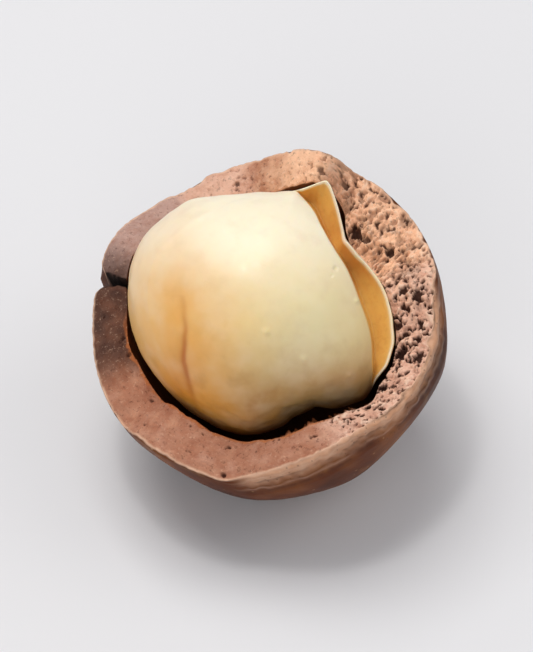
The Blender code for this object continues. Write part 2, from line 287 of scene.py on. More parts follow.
class Graph:
    """A material's node tree, built from one method for nodes and a few shorthands for common ones."""

    def __init__(self, name: str) -> None:
        """Makes the material with its surface shader.

        Args:
            name: the material's name.
        """
        self.material = bpy.data.materials.new(name)
        self.material.use_nodes = True
        self.tree = self.material.node_tree
        self.surface = self.tree.nodes["Principled BSDF"]

    def node(self, kind: str, settings: dict[str, Any] | None = None,
             inputs: dict[Any, Any] | None = None, output: int | str = 0) -> Wire:
        """Adds a node.

        Args:
            kind: the node's type without its ShaderNode prefix.
            settings: its properties, set before its sockets; "stops" fills a colour ramp.
            inputs: values or wires by socket name or number.
            output: which output is wanted.

        Returns:
            That output.
        """
        made = self.tree.nodes.new("ShaderNode" + kind)
        for name, value in (settings or {}).items():
            if name == "stops":
                self.fill_ramp(made.color_ramp, value)
            else:
                setattr(made, name, value)
        for key, value in (inputs or {}).items():
            self.join(made.inputs[key], value)
        return Wire(self, made.outputs[output])

    def join(self, socket: bpy.types.NodeSocket, value: Any) -> None:
        """Links a wire to a socket, or sets a plain value on it.

        Args:
            socket: the socket.
            value: a wire, a number or a colour.
        """
        if isinstance(value, Wire):
            self.tree.links.new(value.socket, socket)
        elif isinstance(value, tuple) and socket.type == "RGBA":
            socket.default_value = (*value, 1.0)
        else:
            socket.default_value = value

    @staticmethod
    def fill_ramp(ramp: bpy.types.ColorRamp, stops: Sequence[tuple[float, Colour]]) -> None:
        """Gives a colour ramp its stops.

        Args:
            ramp: the ramp.
            stops: places from 0 to 1 and their colours.
        """
        while len(ramp.elements) < len(stops):
            ramp.elements.new(1.0)
        for element, (place, colour) in zip(ramp.elements, stops):
            element.position = place
            element.color = (*colour, 1.0)

    def mask(self, name: str) -> Wire:
        """The piece's own attribute of this name, as a number."""
        return self.node("Attribute", {"attribute_name": name}, output="Fac")

    def places(self) -> Wire:
        """The piece's object coordinates."""
        return self.node("TexCoord", output="Object")

    def clouds(self, size: float, detail: float = 3.0, roughness: float = 0.5, warp: float = 0.0) -> Wire:
        """Noise from 0 to 1 on object coordinates.

        Args:
            size: distance over which it changes, in metres.
            detail: octaves.
            roughness: weight of the finer octaves.
            warp: distortion.

        Returns:
            The noise.
        """
        values = {"Vector": self.places(), "Scale": 1 / size, "Detail": detail, "Roughness": roughness}
        return self.node("TexNoise", None, {**values, "Distortion": warp}, "Fac")

    def grains(self, size: float) -> Wire:
        """Distance from the middle of the nearest cell on object coordinates, in cell sizes."""
        return self.node("TexVoronoi", None, {"Vector": self.places(), "Scale": 1 / size}, "Distance")

    def ramp(self, value: Wire, stops: Sequence[tuple[float, Colour]]) -> Wire:
        """Colours along a value."""
        return self.node("ValToRGB", {"stops": stops}, {"Fac": value}, "Color")

    def mix(self, share: Wire | float, low: Wire | Colour, high: Wire | Colour, blend: str = "MIX") -> Wire:
        """One colour turned into another by a share."""
        settings = {"data_type": "RGBA", "blend_type": blend}
        return self.node("Mix", settings, {0: share, 6: low, 7: high}, 2)

    def bump(self, height: Wire, distance: float, strength: float = 1.0) -> Wire:
        """A normal raised by a height from 0 to 1 over a distance in metres."""
        values = {"Height": height, "Distance": distance, "Strength": strength}
        return self.node("Bump", None, values, "Normal")

    def dress(self, values: dict[str, Any]) -> bpy.types.Material:
        """Sets the surface shader's sockets and hands over the material.

        Args:
            values: numbers, colours or wires by socket name.

        Returns:
            The material.
        """
        for name, value in values.items():
            self.join(self.surface.inputs[name], value)
        return self.material


@dataclass(frozen=True)
class ShellFinish:
    """Satin brown skin outside, rough pinkish-brown wood where the shell is broken, dark lining inside."""

    skin_dark: Colour = srgb(54, 22, 6)
    skin_mid: Colour = srgb(98, 46, 12)
    skin_light: Colour = srgb(140, 82, 38)
    skin_gold: Colour = srgb(176, 118, 50)
    facet: Colour = srgb(200, 134, 90)
    fleck: Colour = srgb(206, 160, 112)
    wood_rose: Colour = srgb(180, 122, 94)
    # Warmer, lighter wood at the upper right of the rim, partly painted highlight.
    warm_wood_and_painted_highlight: Colour = srgb(255, 204, 168)
    wood_pale: Colour = srgb(240, 196, 174)
    # Grey wood at the left of the rim, partly painted shade.
    grey_wood_and_painted_shade: Colour = srgb(76, 54, 48)
    wood_mauve: Colour = srgb(190, 158, 148)
    # Painted highlight on the tops of the porous wood's grit.
    tip: Colour = srgb(255, 224, 200)
    amber: Colour = srgb(186, 110, 62)
    # Painted shade in the wood's pits, hollows and dips and at the foot of the chipped steps; also the colour
    # of the wood's real dark specks.
    pit: Colour = srgb(58, 28, 22)
    # Painted shadow: near black laid in the saw slot and in the crumbly gap under the kernel.
    black: Colour = srgb(20, 12, 10)
    # Painted highlight along the rim's outer edge and along the chipped steps' crests; also the lighter
    # patches of the chipped facets and the wood's pale specks.
    edge: Colour = srgb(240, 200, 172)
    lining_dark: Colour = srgb(40, 20, 12)
    lining_light: Colour = srgb(132, 74, 38)

    def skin(self, graph: Graph) -> Wire:
        """Colour of the outside: clouds of brown, fine specks, a few golden stains and painted shade at the
        foot of the chipped steps.

        Args:
            graph: the material's graph.

        Returns:
            The colour.
        """
        clouds = graph.clouds(5.2 * MM, 6.0, 0.58, 0.15)
        browns = ((0.3, self.skin_dark), (0.52, self.skin_mid), (0.74, self.skin_light))
        colour = graph.ramp(clouds, browns)
        stains = graph.clouds(3.0 * MM, 5.0, 0.62, 0.1).between(0.54, 0.7)
        colour = graph.mix(stains * 0.3, colour, self.skin_gold)
        chipped = graph.mix(graph.clouds(0.7 * MM, 4.0, 0.6), self.facet, self.edge)
        colour = graph.mix(graph.mask("chipped"), colour, chipped)
        specks = graph.grains(0.4 * MM).between(0.24, 0.1)
        colour = graph.mix(specks * 0.4, colour, self.skin_dark)
        flecks = graph.grains(0.9 * MM).between(0.16, 0.06) * graph.clouds(2.0 * MM).between(0.42, 0.6)
        colour = graph.mix(flecks * 0.55, colour, self.fleck)
        colour = graph.mix(graph.mask("scar"), colour, graph.mix(clouds, self.facet, self.fleck))
        # Painted shade at the foot of the chipped steps.
        return graph.mix(graph.mask("pit"), colour, self.skin_dark)

    def wood(self, graph: Graph) -> Wire:
        """Colour of the broken wood: rosy to grey by the place on the rim, partly painted light and shade,
        with painted shade in its pits.

        Args:
            graph: the material's graph.

        Returns:
            The colour.
        """
        # Warmer, lighter at the upper right of the rim, partly painted highlight.
        colour = graph.mix(graph.mask("warm"), self.wood_rose, self.warm_wood_and_painted_highlight)
        colour = graph.mix(graph.mask("pale"), colour, self.wood_pale)
        colour = graph.mix(graph.mask("mauve"), colour, self.wood_mauve)
        # Grey at the left of the rim, partly painted shade.
        colour = graph.mix(graph.mask("grey"), colour, self.grey_wood_and_painted_shade)
        blotches = graph.clouds(0.8 * MM, 4.0, 0.65).between(0.4, 0.75)
        colour = graph.mix(blotches * 0.32, colour, self.amber, "MULTIPLY")
        colour = graph.mix(graph.mask("amber"), colour, self.amber)
        light_specks = graph.clouds(0.24 * MM, 4.0, 0.75).between(0.55, 0.72)
        colour = graph.mix(light_specks * 0.36, colour, self.edge)
        dark_specks = graph.clouds(0.3 * MM, 4.0, 0.75).between(0.45, 0.3)
        colour = graph.mix(dark_specks * 0.55, colour, self.pit)
        # Painted highlight on the grit's tops.
        colour = graph.mix(graph.mask("tip"), colour, self.tip)
        # Painted shade in the pits, hollows and dips.
        return graph.mix(graph.mask("pit"), colour, self.pit)

    def material(self) -> bpy.types.Material:
        """The shell's material.

        Returns:
            The material, which reads the shell's masks.
        """
        graph = Graph("shell_wood")
        broken, lining = graph.mask("broken"), graph.mask("lining")
        colour = graph.mix(broken, self.skin(graph), self.wood(graph))
        inner = graph.mix(graph.clouds(1.6 * MM, 4.0), self.lining_dark, self.lining_light)
        colour = graph.mix(lining, colour, inner)
        # Painted highlight along the rim's outer edge and along the chipped steps' crests.
        colour = graph.mix(graph.mask("edge") * 0.75, colour, self.edge)
        # Painted shadow in the saw slot and in the crumbly gap.
        colour = graph.mix(graph.mask("black"), colour, self.black)
        fine = graph.clouds(0.13 * MM, 3.0, 0.65)
        skin_relief = graph.clouds(0.7 * MM, 3.0, 0.55) * 0.5
        relief = skin_relief * (1 - broken) + fine * (broken * 1.5)
        roughness = 0.44 + broken * 0.36 + graph.clouds(1.1 * MM) * 0.14
        return graph.dress({
            "Base Color": colour,
            "Roughness": roughness,
            "Metallic": 0.0,
            "Specular IOR Level": 0.12,
            "Coat Weight": 0.05 * (1 - broken),
            "Coat Roughness": 0.25,
            "Normal": graph.bump(relief, 0.06 * MM, 0.7),
        })


@dataclass(frozen=True)
class KernelFinish:
    """Waxy cream flesh, orange at its left, yellow-brown below partly as painted shade, ochre in the fold,
    paler at the top as painted light, with a pale lip that is a painted highlight.
    """

    cream: Colour = srgb(240, 213, 152)
    # Painted light: the paler cream over the upper part of the kernel; also the pale milky clouds.
    milky_cream_and_painted_top_light: Colour = srgb(255, 241, 214)
    green_cream: Colour = srgb(238, 226, 182)
    orange: Colour = srgb(242, 168, 66)
    # Yellow-brown below, partly the flesh's own deeper tone and partly painted shade; also the mottle's
    # colour.
    tan: Colour = srgb(170, 114, 42)
    ochre: Colour = srgb(238, 192, 104)
    # Brown stains and streaks, also painted shade in the fold's trough and in the crease.
    brown: Colour = srgb(190, 104, 12)
    # Painted highlight along the fold's thin lip.
    lip: Colour = srgb(252, 236, 206)

    def material(self) -> bpy.types.Material:
        """The kernel's material.

        Returns:
            The material, which reads the kernel's masks.
        """
        graph = Graph("kernel_flesh")
        clouds = graph.clouds(3.4 * MM, 4.0, 0.55, 0.3)
        # Painted light: paler towards the top.
        colour = graph.mix(graph.mask("top"), self.cream, self.milky_cream_and_painted_top_light)
        colour = graph.mix(graph.mask("green"), colour, self.green_cream)
        # Darker towards the bottom, partly painted shade.
        colour = graph.mix(graph.mask("tan") * (0.7 + clouds * 0.6), colour, self.tan)
        colour = graph.mix(graph.mask("warm") * (0.75 + clouds * 0.5), colour, self.orange)
        milky = graph.clouds(2.6 * MM, 2.5, 0.5).between(0.38, 0.72)
        colour = graph.mix(milky * 0.2, colour, self.milky_cream_and_painted_top_light)
        mottle = graph.clouds(1.6 * MM, 3.0, 0.5).between(0.45, 0.75)
        colour = graph.mix(mottle * (0.08 + graph.mask("tan") * 0.4), colour, self.tan)
        streaks = graph.clouds(0.5 * MM, 4.0, 0.6, 0.6)
        ochre = graph.mix(streaks.between(0.45, 0.75) * 0.2, self.ochre, self.brown)
        colour = graph.mix(graph.mask("fold"), colour, ochre)
        # Real brown stains, with painted shade in the trough and the crease.
        colour = graph.mix(graph.mask("brown"), colour, self.brown)
        # Painted highlight along the lip.
        colour = graph.mix(graph.mask("lip"), colour, self.lip)
        relief = graph.clouds(0.5 * MM, 3.0, 0.5) + graph.clouds(0.12 * MM, 2.0) * 0.3
        return graph.dress({
            "Base Color": colour,
            "Roughness": 0.36 + graph.clouds(0.9 * MM) * 0.16,
            "Metallic": 0.0,
            "Specular IOR Level": 0.42,
            "Subsurface Weight": 0.25,
            "Subsurface Radius": (1.0, 0.6, 0.25),
            "Subsurface Scale": 0.8 * MM,
            "Coat Weight": 0.12,
            "Coat Roughness": 0.16,
            "Normal": graph.bump(relief, 0.03 * MM, 0.5),
        })


class Band(Enum):
    """The stretches of a profile, in order from its first pole to its last."""

    SKIN = "skin"
    RIM = "rim"
    CAVITY = "cavity"
    BODY = "body"
    FOLD = "fold"
    BACK = "back"


@dataclass
class RingedPiece:
    """A closed piece whose surface is drawn as rings of points round its own axis."""

    name: str
    node: str
    lean: Euler
    columns: int
    bands: dict[Band, int]

    @property
    def azimuth(self) -> Array:
        """Degrees of each column round the piece's own axis."""
        return np.arange(self.columns) * 360.0 / self.columns

    def blank(self) -> bpy.types.Object:
        """A cylinder with as many rings and columns as the piece needs and a fan of faces at each end.

        Returns:
            The blank, about its own middle and 2 metres high.
        """
        bpy.ops.object.select_all(action="DESELECT")
        bpy.ops.mesh.primitive_cylinder_add(vertices=self.columns, end_fill_type="TRIFAN")
        piece = bpy.context.object
        piece.name = piece.data.name = self.name
        spans = sum(self.bands.values()) - 1
        coarse = next(parts for parts in range(math.isqrt(spans), 0, -1) if spans % parts == 0)
        self.cut_rings(piece.data, coarse)
        self.cut_rings(piece.data, spans // coarse)
        return piece

    @staticmethod
    def cut_rings(mesh: bpy.types.Mesh, parts: int) -> None:
        """Divides each upright edge of the active piece's mesh into equal parts.

        Args:
            mesh: the active piece's mesh.
            parts: how many parts each edge gets.
        """
        heights = np.empty(len(mesh.vertices) * 3)
        mesh.vertices.foreach_get("co", heights)
        ends = np.empty(len(mesh.edges) * 2, int)
        mesh.edges.foreach_get("vertices", ends)
        low, high = heights[2::3][ends.reshape(-1, 2)].T
        mesh.vertices.foreach_set("select", np.zeros(len(mesh.vertices), bool))
        mesh.polygons.foreach_set("select", np.zeros(len(mesh.polygons), bool))
        mesh.edges.foreach_set("select", np.abs(high - low) > 1e-4)
        bpy.context.tool_settings.mesh_select_mode = (False, True, False)
        bpy.ops.object.mode_set(mode="EDIT")
        bpy.ops.mesh.subdivide(number_cuts=parts - 1)
        bpy.ops.object.mode_set(mode="OBJECT")

    def lay(self, piece: bpy.types.Object, rings: Array, poles: Array, masks: dict[str, Array]) -> None:
        """Moves the blank's points onto the piece's surface and gives them their masks.

        Args:
            piece: the blank.
            rings: places in the piece's own frame, by ring, column and axis.
            poles: the first and the last point.
            masks: values by name, each by ring and column.
        """
        places = np.empty(len(piece.data.vertices) * 3)
        piece.data.vertices.foreach_get("co", places)
        x, y, z = places.reshape(-1, 3).T
        last = len(rings) - 1
        ring = np.rint((z + 1) / 2 * last).astype(int)
        column = np.rint(np.degrees(np.arctan2(y, x)) / 360.0 * self.columns).astype(int) % self.columns
        laid = rings[ring, column]
        for pole, end in zip(poles, (0, last)):
            laid[(np.hypot(x, y) < 0.5) & (ring == end)] = pole
        turn = np.array(self.lean.to_matrix())
        laid = laid @ turn.T + np.array([0, 0, REST_HEIGHT])
        laid[:, 2] = np.maximum(laid[:, 2], 0.0)
        piece.data.vertices.foreach_set("co", laid.ravel())
        for name, values in masks.items():
            layer = piece.data.attributes.new(name, "FLOAT", "POINT")
            layer.data.foreach_set("value", values[ring, column].astype(np.float32))
        piece.data.update()

    def hand_over(self, piece: bpy.types.Object, material: bpy.types.Material) -> bpy.types.Object:
        """Dresses the piece and puts it in the place of its solid.

        Args:
            piece: the finished mesh.
            material: its finish.

        Returns:
            The piece.
        """
        piece.data.materials.append(material)
        piece.data.shade_smooth()
        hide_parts(self.node)
        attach(piece, "root")
        log.info("%s: %d faces", piece.name, len(piece.data.polygons))
        return piece


@dataclass
class Shell(RingedPiece):
    """The broken woody shell: smooth skin, rough rim, saw slot and round cavity.

    Fields with MM are metres. Angles are degrees, and other sizes, noises and tables are millimetres.
    """

    name: str = "shell_broken_bowl"
    node: str = "shell"
    lean: Euler = field(default_factory=lambda: SHELL_LEAN)
    columns: int = 952
    bands: dict[Band, int] = field(default_factory=lambda: {Band.SKIN: 36, Band.RIM: 51, Band.CAVITY: 18})
    cavity_radius: float = 9.45 * MM
    cavity_blend: float = 45.0
    crown: float = 0.2 * MM
    slot_azimuth: float = 159.0
    slot_depth: float = 2.2 * MM
    slot_width_out: float = 0.75 * MM
    slot_width_in: float = 0.34 * MM
    slot_softness: float = 0.12 * MM
    slot_wear: float = 0.55
    slot_wear_width: float = 0.8 * MM
    slot_wear_depth: float = 1.3
    scar_azimuth: float = 105.0
    scar_polar: float = 42.0
    scar_radius: float = 2.6 * MM
    scar_height: float = 0.12 * MM
    # Parts of the rim by azimuth: start, end and fade in degrees, and strength.
    porous: Arcs = ((-62.0, 56.0, 7.0, 1.0),)
    pocked: Arcs = ((56.0, 112.0, 6.0, 1.0),)
    streaked: Arcs = ((10.0, 54.0, 9.0, 1.0),)
    chipped: Arcs = ((-98.0, -6.0, 12.0, 1.0),)
    nibbled: Arcs = ((-70.0, 110.0, 10.0, 0.25),)
    crumbly: Arcs = ((-84.0, -52.0, 8.0, 1.0),)
    # The grey at the left of the rim is partly painted shade.
    grey: Arcs = ((160.0, 184.0, 18.0, 1.0),)
    mauve: Arcs = ((119.0, 157.0, 5.0, 0.9), (205.0, 290.0, 20.0, 0.1))
    # The warm upper right of the rim is partly a painted highlight.
    warm: Arcs = ((6.0, 72.0, 20.0, 0.95),)
    pale: Arcs = ((-62.0, 4.0, 14.0, 0.8), (98.0, 116.0, 12.0, 0.8))
    amber: Arcs = ((180.0, 290.0, 14.0, 0.75), (56.0, 108.0, 8.0, 0.5))
    rim_middle: float = 10.5
    crumb_size: float = 0.5 * MM
    step_height: float = 1.05
    step_count: float = 2.5
    stepped_reach: float = 2.6
    chip_depth: float = 0.6
    step_waves: Noise = Noise(((0.55, 4.0, 31), (0.14, 0.7, 32)))
    skin_relief: Noise = Noise(((0.05, 3.0, 35), (0.02, 0.8, 36)))
    shards: Noise = Noise(((0.16, 0.7, 37),))
    shard_reach: float = 1.2
    nibble_reach: float = 0.35
    edge_line: float = 0.16
    pores: Holes = Holes(Noise(((1.0, 0.62, 42), (0.55, 0.3, 43))), 0.46, 0.36)
    fine_holes: Noise = Noise(((1.0, 0.34, 44), (0.5, 0.17, 45)))
    fine_pores: Holes = Holes(fine_holes, 0.3, 0.3)
    pocks: Holes = Holes(fine_holes, 0.2, 0.46)
    stray_pocks: Holes = Holes(Noise(((1.0, 0.5, 46), (0.4, 0.2, 47))), 0.14, 0.62, 0.16)
    ragged_pits: Noise = Noise(((0.75, 0.32, 48), (0.4, 0.15, 49)))
    groove_lines: Noise = Noise(((1.0, 0.42, 52, (1.0, 0.26, 1.0)), (0.4, 0.22, 53, (1.0, 0.4, 1.0))))
    grain_lines: Noise = Noise(((0.05, 0.3, 56, (0.28, 1.0, 1.0)), (0.03, 0.14, 57, (0.3, 1.0, 1.0))))
    torn_wood: Noise = Noise(((0.14, 0.7, 62), (0.15, 0.36, 63), (0.12, 0.18, 64)))
    ragged_edge: Noise = Noise(((0.018, 1.3, 71), (0.009, 0.45, 72)))
    lumps: Noise = Noise(((0.16, 1.7, 73),))
    outer_noise: Noise = Noise(((0.35, 0.5, 70),))
    inner_noise: Noise = Noise(((0.08, 0.6, 77),))
    grey_noise: Noise = Noise(((0.2, 1.0, 78),))
    warm_noise: Noise = Noise(((0.3, 0.9, 79),))
    pale_noise: Noise = Noise(((0.3, 0.9, 80),))
    scar_noise: Noise = Noise(((0.5, 0.7, 38),))
    smooth_wood: Noise = Noise(((0.09, 1.2, 74), (0.05, 0.4, 75), (0.04, 0.17, 76)))
    # Azimuth in degrees, then reach, radius and depth in millimetres.
    large_pits: tuple[tuple[float, float, float, float], ...] = (
        (-22.4, 9.9, 0.5, 0.95), (-23.5, 11.3, 0.34, 0.7), (-40.0, 10.1, 0.4, 0.8), (-14.6, 9.8, 0.24, 0.55),
        (-1.7, 10.85, 0.4, 0.7), (22.6, 9.9, 0.42, 0.75), (39.9, 9.0, 0.45, 0.8), (-10.4, 9.25, 0.26, 0.5),
        (-10.6, 11.0, 0.3, 0.5), (1.3, 10.0, 0.26, 0.5), (-16.5, 10.9, 0.28, 0.6), (54.4, 11.3, 0.3, 0.4),
        (-109.2, 10.0, 0.16, 0.24), (-108.2, 12.1, 0.2, 0.28), (-83.0, 9.4, 0.18, 0.24),
        (-151.3, 9.8, 0.14, 0.22), (59.1, 10.7, 0.24, 0.35), (96.4, 11.1, 0.2, 0.3),
    )
    # Azimuth and elevation of the middle, half width and half height, in degrees, and lift in millimetres.
    swells: tuple[tuple[float, float, float, float, float], ...] = (
        (-132.0, -16.0, 16.0, 14.0, -0.45), (-16.0, -22.0, 14.0, 9.0, 0.32), (-46.0, -30.0, 9.0, 12.0, -0.1),
        (-70.0, -32.0, 10.0, 12.0, 0.16),
    )
    # Azimuth in degrees, and height of the outer edge, thickness of the wall and fall inwards in millimetres.
    rim_heights: RoundCurve = RoundCurve((
        (5, 0.6), (22, 0.2), (32, 0.4), (42, 0.8), (52, 0.9), (55, 1.5), (57.5, 3.7), (60, 4.1),
        (65, 3.85), (72, 3.0), (78, 2.1), (91, 1.0), (106, 0.9), (116, 0.6), (120, 1.1), (130, 1.9),
        (140, 3.3), (148, 3.9), (156, 3.2), (167, 1.9), (178, 1.2), (190, 0.9), (201, 0.7), (209, 0.2),
        (221, 1.3), (233, 1.2), (245, 0.6), (256, -0.1), (264, 0.25), (276, 0.7), (288, 0.9), (299, 0.9),
        (311, 0.0), (322, -0.6), (333, -1.0), (343, -1.1), (353, -0.4),
    ))
    rim_walls: RoundCurve = RoundCurve((
        (5, 3.83), (19, 4.35), (33, 4.65), (44, 3.9), (52, 2.6), (58, 2.0), (69, 2.6), (90, 2.9),
        (120, 2.7), (140, 2.3), (152, 2.1), (167, 2.55), (181, 2.65), (191, 3.05), (207, 3.3),
        (230, 3.45), (243, 3.2), (258, 3.25), (276, 2.9), (287, 2.95), (300, 2.45), (312, 2.2),
        (321, 2.82), (332, 2.95), (342, 3.25), (352, 3.58),
    ))
    rim_falls: RoundCurve = RoundCurve((
        (0, 0.5), (25, 1.2), (45, 1.1), (60, 0.9), (100, 0.3), (180, 0.1), (250, 0.1), (320, 0.4),
    ))

    def rim_edges(self, azimuth: Array) -> tuple[tuple[Array, Array], tuple[Array, Array]]:
        """Reach and height of the rim's outer edge and of its inner edge.

        Args:
            azimuth: degrees of the columns.

        Returns:
            Reach and height in metres for the outer edge, then for the inner edge.
        """
        top = self.rim_heights.at(azimuth) * MM
        reach = np.sqrt(NUT_RADIUS**2 - top**2)
        low = top - self.rim_falls.at(azimuth) * MM
        return (reach, top), (reach - self.rim_walls.at(azimuth) * MM, low)

    def inside_radius(self, azimuth: Array, elevation: Array) -> Array:
        """Distance of the cavity's wall from the nut's middle.

        Args:
            azimuth: degrees of the columns.
            elevation: degrees over the level plane.

        Returns:
            The distances in metres.
        """
        reach, height = self.rim_edges(azimuth)[1]
        rim_elevation = np.degrees(np.arctan2(height, reach))
        blend = eased(1 + (elevation - rim_elevation) / self.cavity_blend)
        return self.cavity_radius + (np.hypot(reach, height) - self.cavity_radius) * blend

    @staticmethod
    def directions(azimuth: Array, elevation: Array) -> Array:
        """Unit vectors for an azimuth and an elevation over the plane through the nut's middle."""
        a, e = np.radians(azimuth), np.radians(elevation)
        return np.stack([np.cos(e) * np.cos(a), np.cos(e) * np.sin(a), np.sin(e)], axis=-1)

    def scar(self, ways: Array) -> Array:
        """1 on the round scar where the nut was joined to its husk, 0 away from it.

        Args:
            ways: unit vectors from the nut's middle.

        Returns:
            The values, from 0 to 1.
        """
        middle = self.directions(self.scar_azimuth, self.scar_polar - 90.0)
        apart = np.arccos(np.clip(ways @ middle, -1, 1)) * NUT_RADIUS / self.scar_radius
        return np.exp(-(apart**4))

    def outside_radius(self, ways: Array) -> Array:
        """Distance of the skin from the nut's middle: slow swells, the scar where it grew and the hollow.

        Args:
            ways: unit vectors from the nut's middle.

        Returns:
            The distances in metres.
        """
        x, y, z = np.moveaxis(ways, -1, 0)
        swell = 0.004 * np.sin(2.1 * x + 3.0 * y) + 0.004 * np.cos(2.6 * z - 1.7 * x) - 0.006 * x * y
        radius = NUT_RADIUS * (1 + swell) + self.scar_height * self.scar(ways)
        azimuth, elevation = np.degrees(np.arctan2(y, x)), np.degrees(np.arcsin(np.clip(z, -1, 1)))
        for middle, height, width, reach, lift in self.swells:
            away = (turned(azimuth - middle) / width) ** 2 + ((elevation - height) / reach) ** 2
            radius = radius + lift * MM * np.exp(-away)
        return radius

    def in_slot(self, azimuth: Array, reach: Array, width: Array | float) -> Array:
        """1 in the saw slot and 0 beside it, with a short step between."""
        off_slot = np.radians(np.abs(turned(azimuth - self.slot_azimuth))) * reach
        return 1 - eased((off_slot - width / 2) / self.slot_softness + 0.5)

    def slot_corner(self, azimuth: Array, reach: Array) -> Array:
        """1 at the saw slot's mouth, falling to 0 where the rim beside it is no longer worn round."""
        off_slot = np.radians(np.abs(turned(azimuth - self.slot_azimuth))) * reach
        return 1 - eased((off_slot - self.slot_width_out / 2) / self.slot_wear_width) ** 0.5

    def chips(self, azimuth: Array, places: Array, from_rim: Array) -> tuple[Array, dict[str, Array]]:
        """Relief of the skin: slow waves, and steps, shards and nibbles broken off it near the rim.

        Args:
            azimuth: degrees of the columns.
            places: points of the smooth skin.
            from_rim: their distance from the rim in millimetres.

        Returns:
            Heights in millimetres, and masks for where the skin is chipped, for a painted highlight along
            each step's crest and for painted shade along each step's foot.
        """
        step = from_rim / self.step_height + self.step_waves.at(places)
        part = step % 1.0
        terraces = np.floor(step) + eased(part * 2.5)
        side = arcs(azimuth, self.chipped)
        chipped = side * np.clip(1 - terraces / self.step_count, 0, 1)
        nibbles = np.maximum(rough(places, 1.4 * MM, 33) - 0.1, 0)
        nibbles = nibbles + 0.5 * np.maximum(rough(places, 0.5 * MM, 34), 0)
        nibbles = nibbles * (0.2 + arcs(azimuth, self.nibbled))
        shards = side * (1 - eased(from_rim / self.shard_reach - 1)) * self.shards.at(places)
        lift = self.skin_relief.at(places) * eased(from_rim / 0.5)
        lift = lift - self.chip_depth * chipped + shards * eased(from_rim / 0.3)
        lift = lift - nibbles * (1 - eased(from_rim / self.nibble_reach))
        in_steps = side * (terraces < self.stepped_reach) * (from_rim < self.stepped_reach)
        return lift, {
            "chipped": eased(chipped * 1.3) ** 2 * 0.9,
            # Painted highlight along each step's crest.
            "ridge_highlight": in_steps * (1 - eased(np.abs(part - 0.5) / 0.2)),
            # Painted shade along each step's foot.
            "groove_shade": in_steps * (1 - eased(np.minimum(part, 1 - part) / 0.14)),
        }

    def skin_rings(self, azimuth: Array) -> tuple[Array, Array, dict[str, Array]]:
        """The outside from its foot to the rim, chipped in steps near the rim at the lower right.

        Args:
            azimuth: degrees of the columns.

        Returns:
            The rings, the edge as it would be without the saw slot, and the masks.
        """
        reach, top = self.rim_edges(azimuth)[0]
        rim_polar = 90.0 + np.degrees(np.arctan2(top, reach))
        count = self.bands[Band.SKIN]
        down = gathered((1 - np.arange(1, count + 1) / count)[:, None], 0.12, 2.6)
        polar = rim_polar * (1 - down)
        ways = self.directions(azimuth, polar - 90.0)
        from_rim = np.radians(rim_polar * down) * NUT_RADIUS / MM
        places = ways * NUT_RADIUS
        lift, broken_off = self.chips(azimuth, places, from_rim)
        worn = self.slot_wear * self.slot_corner(azimuth, reach)
        lift = lift - worn * (1 - eased(from_rim / self.slot_wear_depth))
        edge_points = ways[-1] * (self.outside_radius(ways[-1]) + lift[-1] * MM)[..., None]
        slot = self.in_slot(azimuth, reach, self.slot_width_out)
        lowered = slot * self.slot_depth / (NUT_RADIUS * np.radians(rim_polar))
        ways = self.directions(azimuth, polar * (1 - lowered) - 90.0)
        rings = ways * (self.outside_radius(ways) + lift * MM)[..., None]
        edge = (1 - eased(from_rim / self.edge_line)) * (1 - slot)
        return rings, edge_points, {
            # Painted highlight along the skin's edge at the rim and along the chipped steps' crests.
            "edge": np.maximum(edge * 0.75, broken_off["ridge_highlight"] * 0.28),
            "chipped": broken_off["chipped"],
            "scar": 0.75 * self.scar(ways) * (0.7 + self.scar_noise.at(places)),
            "broken": edge * 0.5,
            # Painted shade at the foot of each chipped step.
            "pit": broken_off["groove_shade"] * 0.55 * (1 - edge),
        }

    def pits(self, places: Array, porous: Array, pocked: Array) -> Array:
        """Depth of the holes and worm-like hollows at points of the rim.

        Args:
            places: points across the rim, in the shell's own frame.
            porous: how porous the wood is at each point.
            pocked: how pocked it is with small holes.

        Returns:
            Depths in millimetres.
        """
        warped = bent(places, 0.12 * MM, 0.3 * MM, 41)
        depth = np.maximum(self.pores.at(warped) * porous, self.fine_pores.at(warped) * porous)
        depth = np.maximum(depth, self.pocks.at(warped) * pocked)
        depth = np.maximum(depth, self.stray_pocks.at(warped))
        ragged = 1 + self.ragged_pits.at(places)
        for azimuth, reach, radius, deep in self.large_pits:
            a = math.radians(azimuth)
            middle = np.array([math.cos(a), math.sin(a)]) * reach * MM
            span = np.linalg.norm(places[..., :2] - middle, axis=-1) / (radius * MM) * ragged
            depth = np.maximum(depth, 0.75 * deep * (1 - eased(span * 1.3 - 0.5)))
        return depth

    def unrolled(self, azimuth: Array, reach: Array) -> Array:
        """Places on the rim rolled out straight, in millimetres: along it, outwards and level."""
        level = np.zeros_like(reach)
        return np.stack([np.radians(azimuth) * self.rim_middle + level, reach / MM, level], axis=-1)

    def grooves(self, azimuth: Array, reach: Array) -> Array:
        """Worm-like hollows that run outwards across the rim, from 0 to 1."""
        lines = self.groove_lines.at(bent(self.unrolled(azimuth, reach), 0.5, 1.1, 51), 1.0)
        return eased((lines - 0.02) / 0.3)

    def grain(self, azimuth: Array, reach: Array) -> Array:
        """Faint ridges that run along the rim, in millimetres."""
        return self.grain_lines.at(bent(self.unrolled(azimuth, reach), 0.3, 0.9, 55), 1.0)

    def grit(self, places: Array) -> Array:
        """Torn and crumbly relief of the porous wood.

        Args:
            places: points of the rim.

        Returns:
            Heights in millimetres.
        """
        torn = bent(places, 0.15 * MM, 0.5 * MM, 61)
        crests = 0.2 - np.abs(rough(torn, 0.6 * MM, 65))
        return self.torn_wood.at(torn) + 0.12 * crests

